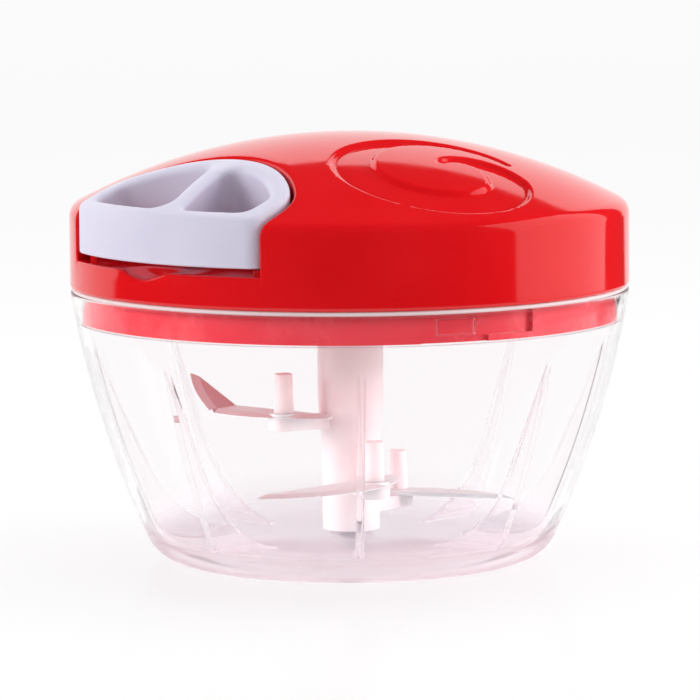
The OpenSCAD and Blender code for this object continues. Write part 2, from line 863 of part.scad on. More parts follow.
// The spiral ornament's track as a shallow cut in the crown
module spiral_cut() {
    intersection() {
        translate([0, 0, crown_z])
            at_az(spiral_az)
                rotate([0, asin(spiral_r / crown_r), 0])
                    linear_extrude(crown_r + 20)
                        spiral_shape();
        difference() {
            translate([0, 0, shoulder_z])
                cylinder(r = body_r, h = 40);
            translate([0, 0, crown_z])
                sphere(r = crown_r - spiral_depth);
        }
    }
}

// The lid's shell with its recess, bosses and ornament
module lid_shell() {
    difference() {
        difference() {
            difference() {
                rotate_extrude()
                    dome_shape();
                lid_cavity();
            }
            recess_space();
        }
        spiral_cut();
    }
}

module lid_cover() {
    scoop_r = (scoop_w * scoop_w / 4 + scoop_depth * scoop_depth) / 2 / scoop_depth;
    color([0.85, 0.03, 0.04])
    difference() {
        lid_shell();
        at_az(0)
            translate([body_r - scoop_reach, 0, ledge_z - scoop_depth + scoop_r])
                rotate([0, 90, 0])
                    cylinder(r = scoop_r, h = 20);
        at_az(0)
            translate([seat_u, 0, cord_z])
                rotate([0, 90, 0]) {
                    translate([0, 0, -9])
                        cylinder(r = eyelet_d / 2 + eyelet_wall + slip, h = 10);
                    cylinder(r = eyelet_flange_d / 2 + slip, h = 4);
                }
        for (i = [0 : 2])
            at_az(screw_az + i * third)
                translate([screw_ring_r, 0, post_top - 1])
                    cylinder(r = screw_d / 2 + slip, h = plate_z + screw_len - post_top + 1.5);
        for (i = [0 : 2])
            at_az(screw_az + i * third)
                translate([ear_r, 0, housing_top - 1])
                    cylinder(r = housing_screw_d / 2 + slip, h = housing_grip + 1.2);
        translate([0, 0, boss_z - 1])
            cylinder(r = axle_d / 2 + slip, h = crown_z + crown_r - lid_wall - boss_z);
    }
}

// Slots in the skirt: each lug enters from below and locks sideways
module lug_slots() {
    slot_r = socket_r - lug_reach - free_gap;
    slot_z = lug_z - free_gap;
    slot_top = lug_z + lug_h + free_gap;
    for (i = [0 : 2])
        let (a = lug_az + i * third)
        union() {
            sector(slot_r, socket_r + 2, slot_z, slot_top, a - slot_half, a + lock_turn + lug_half + 0.5);
            sector(slot_r, socket_r + 2, skirt_z - 1, slot_z + 1, a - slot_half, a + slot_half);
        }
}

module lid_base() {
    color([0.8, 0.03, 0.04])
    difference() {
        difference() {
            union() {
                for (i = [0 : 2])
                    at_az(screw_az + i * third)
                        translate([screw_ring_r, 0, plate_z + plate_t / 2])
                            cylinder(r = boss_d / 2, h = post_top - plate_z - plate_t / 2);
                rotate_extrude() {
                    translate([skirt_r - skirt_wall, skirt_z])
                        square([skirt_wall, lid_z - skirt_z + 1]);
                    translate([skirt_r - skirt_wall, lid_z + 0.2])
                        square([lid_inner_r - slip - skirt_r + skirt_wall, inner_ring_h]);
                    translate([bush_r + slip, plate_z])
                        square([skirt_r - bush_r - slip - 1, plate_t]);
                    translate([bush_r + slip, plate_z])
                        square([3, collar_top - plate_z]);
                }
            }
            lug_slots();
        }
        for (i = [0 : 2])
            at_az(screw_az + i * third)
                translate([screw_ring_r, 0, plate_z - 1]) {
                    cylinder(r = screw_d / 2 + slip, h = 20);
                    cylinder(r = screw_head_d / 2 + slip, h = plate_t / 2 + 1);
                }
    }
}

module lid_screws() {
    color([0.72, 0.73, 0.75])
    for (i = [0 : 2])
        at_az(screw_az + i * third)
            translate([screw_ring_r, 0, plate_z])
                difference() {
                    union() {
                        cylinder(r = screw_head_d / 2, h = plate_t / 2);
                        cylinder(r = screw_d / 2, h = screw_len);
                    }
                    for (a = [0, 90])
                        rotate([0, 0, a])
                            translate([-1.8, -0.4, -1])
                                cube([3.6, 0.8, 1.8]);
                }
}

module cord_eyelet() {
    color([0.8, 0.8, 0.82])
    at_az(0)
        translate([seat_u, 0, cord_z])
            rotate([0, 90, 0])
                rotate_extrude()
                    union() {
                        translate([eyelet_d / 2, -recess_wall - eyelet_tail])
                            square([eyelet_wall, recess_wall + eyelet_tail + eyelet_flange_t]);
                        translate([eyelet_d / 2, 0])
                            square([(eyelet_flange_d - eyelet_d) / 2, eyelet_flange_t]);
                    }
}

module shaft_bush() {
    color([0.93, 0.93, 0.9])
    rotate_extrude()
        union() {
            translate([shaft_d / 2 + run_gap, plate_z])
                square([bush_wall, bush_top - plate_z]);
            translate([shaft_d / 2 + run_gap, collar_top])
                square([bush_wall + 1.6, bush_flange_t]);
        }
}

module spring_housing() {
    color([0.9, 0.9, 0.92])
    difference() {
        union() {
            pipe(housing_d / 2, housing_d / 2 + housing_wall, housing_z, boss_z);
            translate([0, 0, housing_top])
                cylinder(r = housing_d / 2 + weld, h = housing_lid_t);
            for (i = [0 : 2])
                at_az(screw_az + i * third)
                    translate([0, 0, housing_top - ear_t]) {
                        translate([housing_d / 2 + weld, -ear_round, 0])
                            cube([ear_r - housing_d / 2 - weld, 2 * ear_round, ear_t]);
                        translate([ear_r, 0, 0])
                            cylinder(r = ear_round, h = ear_t);
                    }
        }
        translate([0, 0, housing_top - 1])
            cylinder(r = axle_d / 2 + slip, h = housing_lid_t + 2);
        for (i = [0 : 2])
            at_az(screw_az + i * third)
                translate([ear_r, 0, housing_top - ear_t - 1])
                    cylinder(r = housing_screw_d / 2 + slip, h = ear_t + 2);
    }
}

module housing_screws() {
    color([0.72, 0.73, 0.75])
    for (i = [0 : 2])
        at_az(screw_az + i * third)
            translate([ear_r, 0, housing_top - ear_t])
                union() {
                    translate([0, 0, -housing_head_h])
                        cylinder(r = housing_head_d / 2, h = housing_head_h);
                    cylinder(r = housing_screw_d / 2, h = ear_t + housing_grip);
                }
}

module spring_plate() {
    color([0.85, 0.85, 0.87])
    pipe(arbor_d / 2 + free_gap, housing_d / 2 - slip, housing_z, housing_z + cover_t);
}

module rewind_spring() {
    r0 = arbor_d / 2 + free_gap + spring_t / 2;
    r1 = housing_d / 2 - free_gap - spring_t / 2;
    steps = spring_turns * 24;
    inner = [for (i = [0 : steps])
        (r0 + (r1 - r0) * i / steps - spring_t / 2) * [cos(15 * i), sin(15 * i)]];
    outer = [for (i = [steps : -1 : 0])
        (r0 + (r1 - r0) * i / steps + spring_t / 2) * [cos(15 * i), sin(15 * i)]];
    color([0.55, 0.57, 0.6])
    translate([0, 0, spring_z])
        linear_extrude(spring_h)
            polygon(concat(inner, outer));
}

module reel_axle() {
    color([0.75, 0.76, 0.78])
    translate([0, 0, reel_z + 2])
        cylinder(r = axle_d / 2, h = crown_z + crown_r - lid_wall - 1.2 - reel_z - 2);
}

module cord_reel() {
    color([0.94, 0.94, 0.92])
    difference() {
        union() {
            translate([0, 0, reel_z])
                cylinder(r = flange_d / 2, h = flange_t);
            translate([0, 0, reel_z])
                cylinder(r = drum_d / 2, h = channel_top - reel_z);
            translate([0, 0, reel_z])
                cylinder(r = arbor_d / 2, h = arbor_top - reel_z);
        }
        translate([0, 0, reel_z + 1.6])
            cylinder(r = axle_d / 2 + run_gap, h = tall);
        for (i = [0 : 2])
            at_az(i * third)
                translate([shaft_screw_r, 0, reel_z - 1])
                    cylinder(r = shaft_screw_d / 2 + slip, h = shaft_screw_len + 0.5);
    }
}

module reel_flange() {
    color([0.94, 0.94, 0.92])
    pipe(arbor_d / 2 + slip, flange_d / 2, channel_top, channel_top + flange_t);
}

module drive_shaft() {
    color([0.92, 0.9, 0.9])
    difference() {
        union() {
            translate([0, 0, washer_top])
                cylinder(r = shaft_flange_d / 2, h = shaft_flange_t);
            translate([0, 0, skirt_z - 0.6])
                cylinder(r = shaft_d / 2, h = washer_top - skirt_z + 1);
            translate([0, 0, shaft_end])
                cylinder(r = spline_core_d / 2, h = skirt_z - shaft_end);
            for (i = [0 : 2])
                sector(spline_core_d / 2 - 0.6, spline_d / 2, shaft_end, skirt_z - 0.2,
                    i * third - spline_rib / 2, i * third + spline_rib / 2);
        }
        for (i = [0 : 2])
            at_az(i * third)
                translate([shaft_screw_r, 0, washer_top - 1]) {
                    cylinder(r = shaft_screw_d / 2 + slip, h = shaft_screw_len);
                    cylinder(r = shaft_head_d / 2 + slip, h = shaft_head_h + 1);
                }
    }
}

module shaft_screws() {
    color([0.72, 0.73, 0.75])
    for (i = [0 : 2])
        at_az(i * third)
            translate([shaft_screw_r, 0, washer_top])
                union() {
                    cylinder(r = shaft_head_d / 2, h = shaft_head_h);
                    cylinder(r = shaft_screw_d / 2, h = shaft_screw_len);
                }
}

module thrust_washer() {
    color([0.8, 0.8, 0.82])
    pipe(shaft_d / 2 + run_gap, shaft_flange_d / 2 - 0.4, bush_top, washer_top);
}

module cord_winding() {
    echo(gap_between_cord_turns = wind_pitch - cord_d);
    color([0.9, 0.88, 0.86])
    tube(wind_path, cord_r, 6);
}

module cord_run() {
    color([0.9, 0.88, 0.86])
    tube(run_path, cord_r, 8);
}

module pull_handle() {
    color([0.9, 0.88, 0.95])
    at_az(0)
        difference() {
            union() {
                difference() {
                    intersection() {
                        translate([0, 0, handle_z])
                            linear_extrude(40)
                                handle_shape();
                        translate([0, 0, handle_top_z - handle_top_r])
                            sphere(r = handle_top_r);
                    }
                    for (s = [-1, 1])
                        translate([0, 0, handle_z - 1])
                            linear_extrude(tall)
                                finger_shape(s);
                }
                translate([pocket_u, 0, handle_z])
                    cylinder(r = pocket_r + pocket_wall, h = cord_rise + pocket_r + pocket_wall);
            }
            translate([pocket_u, 0, handle_z - 1])
                cylinder(r = pocket_r, h = cord_rise + pocket_r + 1);
            translate([handle_back - 2, 0, cord_z])
                rotate([0, 90, 0])
                    cylinder(r = cord_r + cord_gap, h = pocket_u - handle_back + 2);
        }
}

module cord_end() {
    color([0.9, 0.88, 0.86])
    at_az(0)
        union() {
            translate([handle_back - 0.1, 0, cord_z])
                rotate([0, 90, 0])
                    cylinder(r = cord_r, h = pocket_u - handle_back + 0.1);
            translate([pocket_u, 0, cord_z])
                sphere(r = knot_d / 2);
        }
}

bowl();
pivot_pin();
blade_hub();
upper_blade();
front_blade();
lower_blade();
blade_pegs();
lid_seal();
lid_cover();
lid_base();
lid_screws();
cord_eyelet();
shaft_bush();
spring_housing();
housing_screws();
spring_plate();
rewind_spring();
reel_axle();
cord_run();
cord_reel();
reel_flange();
drive_shaft();
shaft_screws();
thrust_washer();
cord_winding();
pull_handle();
cord_end();
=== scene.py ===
"""Looks of a hand food chopper that is worked by pulling a cord.

A clear finned bowl, a glossy red domed lid and a pale two finger handle, in the studio light of a catalogue picture.
Metres, +Z up. The handle pulls along -Y. In plan, u runs along the pull and v to the right of it.
"""
import math

import bmesh
import bpy
from mathutils import Matrix, Vector
from mathutils.geometry import delaunay_2d_cdt
from mathutils.kdtree import KDTree


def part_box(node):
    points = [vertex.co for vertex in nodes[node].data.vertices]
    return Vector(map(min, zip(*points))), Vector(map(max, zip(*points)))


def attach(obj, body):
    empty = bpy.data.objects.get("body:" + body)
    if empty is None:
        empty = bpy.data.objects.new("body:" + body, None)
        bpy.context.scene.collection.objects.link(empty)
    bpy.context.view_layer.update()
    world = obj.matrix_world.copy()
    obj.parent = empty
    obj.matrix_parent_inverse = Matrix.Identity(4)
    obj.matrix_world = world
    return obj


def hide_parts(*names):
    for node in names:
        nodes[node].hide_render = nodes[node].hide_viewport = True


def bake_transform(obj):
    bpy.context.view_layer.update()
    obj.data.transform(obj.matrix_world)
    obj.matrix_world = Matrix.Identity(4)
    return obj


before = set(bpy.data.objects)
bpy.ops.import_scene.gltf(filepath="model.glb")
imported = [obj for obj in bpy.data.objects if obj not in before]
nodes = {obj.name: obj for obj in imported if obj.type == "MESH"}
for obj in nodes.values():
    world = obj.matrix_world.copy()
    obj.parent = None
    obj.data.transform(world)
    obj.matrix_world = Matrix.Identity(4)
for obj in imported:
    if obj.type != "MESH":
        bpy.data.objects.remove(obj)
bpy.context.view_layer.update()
mm = 0.001

# Lid, from the frame and its moulding radii, and how finely it is cut up
lid_low, lid_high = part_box("lid_cover")
BODY_R = lid_high.x
LID_Z = lid_low.z
LID_TOP = lid_high.z
CROWN_R = 136 * mm
SHOULDER_R = 4 * mm
SHOULDER_THIN = 0.9
LID_WALL = 2.4 * mm
RECESS_WALL = 2 * mm
LID_EDGE = 0.9 * mm
INSIDE_EDGE = 0.4 * mm
CROWN_MID = LID_TOP - CROWN_R
CROWN_STEP = 1.6 * mm
INSIDE_STEP = 4 * mm
GRID_ROOM = 0.6
LID_SIDES = 176
SHOULDER_ROWS = 10
SIDE_ROWS = 6
LIP_STEPS = 48
LIP_ROOM = 0.3 * mm
LID_EDGE_STEPS = 5

# Rounded lower end of the lid's side: how far each ring is set in, and its rise
LID_FOOT = ((0, 0.9 * mm), (0, 0.6 * mm), (0.1 * mm, 0.25 * mm), (0.35 * mm, 0.08 * mm), (0.7 * mm, 0), (LID_WALL, 0))

# Handle, from the frame and the arcs of its plan
handle_low, handle_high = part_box("pull_handle")
SIDE = handle_high.x
HANDLE_Z = handle_low.z
HANDLE_BACK = -handle_high.y
BACK_R = 40 * mm
CORNER_R = 10 * mm
FRONT_R = 4 * mm
HANDLE_TOP_R = 155 * mm
HANDLE_GAP = 0.8 * mm
HANDLE_EDGE = 1.1 * mm
HANDLE_FOOT_EDGE = 0.7 * mm
HANDLE_EDGE_STEPS = 6
HANDLE_FOOT_STEPS = 4
HANDLE_WALL_ROWS = 0.03, 0.5, 0.97
LEDGE_DROP = 1.8 * mm
LEDGE_Z = HANDLE_Z - LEDGE_DROP
BACK_U = HANDLE_BACK + BACK_R
CORNER_V = SIDE - CORNER_R
CORNER_U = BACK_U - math.sqrt((BACK_R - CORNER_R) ** 2 - CORNER_V ** 2)
LEAN = math.atan2(CORNER_V, CORNER_U - BACK_U)

# Finger holes and the slanted web between them
RIM = 4.6 * mm
BAR = 3.6 * mm
WEB = 4.4 * mm
WEB_TURN = math.radians(21)
WEB_SHIFT = 2.2 * mm
WEB_U = (HANDLE_BACK + BODY_R) / 2
FINGER_ROUND = 3.4 * mm
FINGER_EDGE = 1.7 * mm

# Fingertip scoop in the ledge
SCOOP_W = 16 * mm
SCOOP_DEPTH = 1.8 * mm
SCOOP_U = 56 * mm
SCOOP_RAMP = 2 * mm
SCOOP_SLOPE = 1.4

# Low rails on the ledge, below the handle's sides
RAIL_W = 2.4 * mm
RAIL_LEN = 7 * mm
RAIL_START = CORNER_U - 3 * mm
RAIL_V = 27.2 * mm
RAIL_H = 1.4 * mm
RAIL_SINK = 0.6 * mm
RAIL_EDGE = 0.3 * mm

# Spiral ornament in the crown, which winds in late and tapers at both ends
SPIRAL_AZ = math.radians(77.5)
SPIRAL_R = 39.2 * mm
SPIRAL_D = 49 * mm
SPIRAL_W = 9.2 * mm
SPIRAL_DEPTH = 1.1 * mm
SPIRAL_CORE = 4 * mm
SPIRAL_START = math.radians(97)
SPIRAL_SWEEP = math.radians(410)
SPIRAL_SOFT = 1.5 * mm
SPIRAL_WIND = 5
SPIRAL_TIP_OUT = 0.1, 2.6
SPIRAL_TIP_IN = 0.15, 4
SPIRAL_POINTS = 400
SPIRAL_NEAR = 24
SPIRAL_STEP = 0.5 * mm
SPIRAL_MARGIN = 1 * mm

# Bowl, with its foot, rim and the seat of the pivot pin
BOWL_H = 63 * mm
BOWL_SIDES = 160
BOWL_WALL = 2.4 * mm
RIM_WALL = 2.7 * mm
WALL_BOW_R = 225 * mm
RIM_LEAN = math.radians(9)
FOOT_ROUND = 9 * mm
FLOOR_Z = 4.4 * mm
INNER_ROUND = 8 * mm
FOOT_RING = 4 * mm
FOOT_HOLLOW = 1.6 * mm
FOOT_SLOPE = 0.6 * mm
SOCKET_Z = 56 * mm
SOCKET_R = BODY_R - RIM_WALL
RIM_EDGE = 0.5 * mm
PIN_R = 2.55 * mm
PIN_FOOT_Z = 3.2 * mm
PIN_BOSS_R = 4.9 * mm
PIN_BOSS_Z = 6 * mm
BOSS_FLARE = 1 * mm
BOSS_RISE = 0.6 * mm

# Fins and locking lugs on the bowl's inside
FIN_COUNT = 8
FIN_AZ = math.radians(48)
FIN_T = 1.6 * mm
FIN_EDGE = 0.45 * mm
FIN_CURVE = 30.2 * mm
FIN_MID = Vector((20 * mm, FLOOR_Z + FIN_CURVE))
FIN_LEAN = math.radians(25)
FIN_START = 6 * mm
FIN_TOP = 55 * mm
LUG_COUNT = 3
LUG_AZ = math.radians(67.7)
LUG_HALF = math.radians(4.13)
LUG_Z = 58.2 * mm
LUG_H = 3.5 * mm
LUG_REACH = 1.2 * mm
LUG_SINK = 0.6 * mm
LUG_STEPS = 6

# Free stretch of the cord between lid and handle, and how much of it each of them holds
CORD_R = 1.1 * mm
CORD_Z = HANDLE_Z + 6 * mm
CORD_START = HANDLE_BACK - 1.4 * mm
CORD_END = HANDLE_BACK + 0.6 * mm
CORD_HELD = 0.2 * mm
CORD_STEPS = 60
CORD_SIDES = 16

# Clear plastic: how much it bends light, and how milky it is in the foot, the wall and on edges. The dark pink milk in
# the foot is partly painted contact shadow and painted red light from the lid, and the milk on edges is a painted glow
# along them
CLEAR_IOR = 1.13
FOOT_MILK_AND_SHADOW = 0.5
FOOT_MILK_AND_SHADOW_Z = 14 * mm
MILK_WALL = 0.012
EDGE_MILK_AND_GLOW = 0.7
EDGE_MILK_AND_GLOW_R = 0.6 * mm

# Rubbed edges of the other plastics, in patches, and ground edges of the steel
WORN_R = 0.3 * mm
WORN_SCALE = 420
WORN_SHARES = 0.1, 0.7
GROUND_R = 0.2 * mm

# Camera, round the object from the pull to the right
CAMERA_AZ = math.radians(45.7)
CAMERA_REACH = 1.0
CAMERA_Z = 0.1665
CAMERA_ROLL = math.radians(-0.4)
CAMERA_LENS = 222
CAMERA_SENSOR = 36
CAMERA_CLIP = 0.05, 50
AIM_RIGHT = -0.05 * mm
AIM_Z = 48.1 * mm

# Studio: light of the room, and the backdrop and floor that the gloss mirrors as white, with soft ends
ROOM_LIGHT = 0.52
SURROUND_DARK = 0.05
BACKDROP_TOP = math.sin(math.radians(33))
BACKDROP_SOFT = 0.02
BACKDROP_SIDES = math.cos(math.radians(54)), math.cos(math.radians(49))
BACKDROP_AZ = CAMERA_AZ + math.radians(201.5)
NEAR_FLOOR = 0.3, 0.5
FLOOR_WHITE = 0.7
FLOOR_R = 4.0

# Lamps: degrees from the camera to the right, degrees of rise, reach, width, height, watts, seen in the gloss
LAMPS = {
    "overhead_softbox": (160, 70, 1.15, 1.2, 0.9, 7.5, False),
    "right_softbox": (95, 16, 0.5, 0.56, 0.6, 1.15, True),
    "left_softbox": (-77, 15, 0.9, 0.5, 0.5, 4.2, False),
    "front_softbox": (74, 15, 0.9, 0.5, 0.5, 3.0, False),
}


def plan(u, v, z):
    """A point at u along the pull, v to the right of it and height z."""
    return Vector((v, -u, z))


def heading(azimuth):
    """Level direction at an azimuth from the pull to the right."""
    return plan(math.cos(azimuth), math.sin(azimuth), 0)


def ease(share):
    """A share between 0 and 1, with soft ends."""
    share = min(1, max(0, share))
    return share * share * (3 - 2 * share)


def place(name, data):
    """A new object in the scene."""
    thing = bpy.data.objects.new(name, data)
    bpy.context.scene.collection.objects.link(thing)
    return thing


def arc(mid, radius, start, end, steps):
    """Points of an arc in plan, from one angle to another."""
    turn = (end - start) / steps
    return [Vector((mid[0] + radius * math.cos(start + turn * k), mid[1] + radius * math.sin(start + turn * k)))
            for k in range(steps + 1)]


def row(bm, points):
    """New vertices at these points."""
    return [bm.verts.new(p) for p in points]


def join(bm, a, b, closed=False):
    """Quads between two rows of vertices of the same length."""
    last = len(a) if closed else len(a) - 1
    for k in range(last):
        n = (k + 1) % len(a)
        corners = [a[k], a[n], b[n], b[k]]
        seen = [c for i, c in enumerate(corners) if c not in corners[:i]]
        if len(seen) > 2:
            bm.faces.new(seen)


def rounded(p, c, q, steps):
    """Rows of a rounded edge from the points p over the sharp edge c to the points q, without the two ends."""
    rows = []
    for k in range(1, steps):
        a = math.pi / 2 * k / steps
        rows.append([x + math.sin(a) * (y - x) + (1 - math.cos(a)) * (z - y) for x, y, z in zip(p, c, q)])
    return rows


def fill(bm, loop, inner, height, holes=()):
    """Triangles between a loop of vertices and the loops of its holes.
    Inner points of the plan are put at height(u, v)."""
    verts = [v for ring in (loop, *holes) for v in ring]
    flat = [Vector((-v.co.y, v.co.x)) for v in verts] + inner
    faces = []
    for ring in (loop, *holes):
        first = sum(len(f) for f in faces)
        face = list(range(first, first + len(ring)))
        area = sum(flat[a].cross(flat[b]) for a, b in zip(face, face[1:] + face[:1]))
        faces.append(face if area > 0 else face[::-1])
    out, _, triangles, source, _, inside = delaunay_2d_cdt(flat, [], faces, 1, 1e-9, True)
    made = []
    for point, ids in zip(out, source):
        known = [i for i in ids if i < len(verts)]
        made.append(verts[known[0]] if known else bm.verts.new(plan(point.x, point.y, height(point.x, point.y))))
    for triangle, ids in zip(triangles, inside):
        if set(ids) == {0}:
            bm.faces.new([made[i] for i in triangle])


def finish_mesh(bm, name, smooth=40):
    """The piece's object, with outward faces and edges sharper than smooth degrees kept sharp."""
    bmesh.ops.remove_doubles(bm, verts=bm.verts, dist=1e-6)
    bmesh.ops.dissolve_degenerate(bm, edges=bm.edges, dist=1e-7)
    bmesh.ops.recalc_face_normals(bm, faces=bm.faces)
    for face in bm.faces:
        face.smooth = True
    for edge in bm.edges:
        edge.smooth = len(edge.link_faces) == 2 and edge.calc_face_angle(0) < math.radians(smooth)
    mesh = bpy.data.meshes.new(name)
    bm.to_mesh(mesh)
    bm.free()
    return place(name, mesh)


def round_edges(bm, edges, radius, segments):
    """Rounds these edges."""
    bmesh.ops.bevel(bm, geom=edges, offset=radius, offset_type="OFFSET", segments=segments, profile=0.5,
                    affect="EDGES", clamp_overlap=True, material=-1)


def vertices(geom):
    """The vertices among the pieces of a mesh that an operator gave back."""
    return [g for g in geom if isinstance(g, bmesh.types.BMVert)]


def grid(low, high, step, keep):
    """Points of a triangle grid over a part of the plan, where keep(u, v) is true."""
    points = []
    pitch = step * math.sqrt(3) / 2
    for j in range(int((high[1] - low[1]) / pitch) + 1):
        v = low[1] + j * pitch
        for i in range(int((high[0] - low[0]) / step) + 1):
            u = low[0] + (i + 0.5 * (j % 2)) * step
            if keep(u, v):
                points.append(Vector((u, v)))
    return points


def clear_of(loop, room):
    """A test that a point of the plan lies at least that far from a loop's points."""
    tree = KDTree(len(loop))
    for i, v in enumerate(loop):
        tree.insert((-v.co.y, v.co.x, 0), i)
    tree.balance()
    return lambda u, v: tree.find((u, v, 0))[2] > room


def recess_line(grow, reach):
    """Outline of the handle's recess, grown, from its right front end round the back to its left front end.
    The ends lie at the distance reach from the axis."""
    side = SIDE + grow
    end = Vector((math.sqrt(reach ** 2 - side ** 2), side))
    half = [end.lerp(Vector((CORNER_U, side)), k / 4) for k in range(4)]
    half += arc((CORNER_U, CORNER_V), CORNER_R + grow, math.pi / 2, LEAN, 8)[:-1]
    half += arc((BACK_U, 0), BACK_R + grow, LEAN, math.pi, 40)
    return half + [Vector((p.x, -p.y)) for p in reversed(half[:-1])]


def in_recess(u, v, grow):
    """True inside the recess's outline, grown."""
    if u > CORNER_U:
        return abs(v) < SIDE + grow
    if abs(math.atan2(v, u - BACK_U)) > LEAN:
        return math.hypot(u - BACK_U, v) < BACK_R + grow
    return math.hypot(u - CORNER_U, abs(v) - CORNER_V) < CORNER_R + grow


def crown_height(u, v, radius=CROWN_R):
    """Height of the lid's crown."""
    return CROWN_MID + math.sqrt(radius ** 2 - u * u - v * v)


def spiral_track():
    """Points along the middle of the spiral ornament with its half width there, and a tree to find the nearest."""
    wide = (SPIRAL_D - SPIRAL_W) / 2
    tip_out, open_out = SPIRAL_TIP_OUT
    tip_in, open_in = SPIRAL_TIP_IN
    halves = []
    tree = KDTree(SPIRAL_POINTS + 1)
    for k in range(SPIRAL_POINTS + 1):
        t = k / SPIRAL_POINTS
        a = SPIRAL_START + t * SPIRAL_SWEEP
        r = wide - (wide - SPIRAL_CORE) * t ** SPIRAL_WIND
        tree.insert((r * math.cos(a), r * math.sin(a), 0), k)
        halves.append(SPIRAL_W / 2 * min(1, open_out * t + tip_out, open_in * (1 - t) + tip_in))
    tree.balance()
    return tree, halves


track, track_halves = spiral_track()


def spiral_depth(u, v):
    """Depth of the spiral ornament at a place of the crown, with soft edges."""
    tilt = math.asin(SPIRAL_R / CROWN_R)
    across = heading(SPIRAL_AZ + math.pi / 2)
    p = plan(u, v, crown_height(u, v) - CROWN_MID)
    x = p.dot(heading(SPIRAL_AZ)) * math.cos(tilt) - p.z * math.sin(tilt)
    near = track.find_n((x, p.dot(across), 0), SPIRAL_NEAR)
    return SPIRAL_DEPTH * ease(max((track_halves[k] - away) / SPIRAL_SOFT + 0.5 for _, k, away in near))


def scoop_depth(u, v):
    """Depth of the fingertip scoop in the ledge below the handle."""
    hollow = max(0, 1 - (2 * v / SCOOP_W) ** 2) ** SCOOP_SLOPE
    return SCOOP_DEPTH * hollow * ease((u - SCOOP_U) / SCOOP_RAMP)


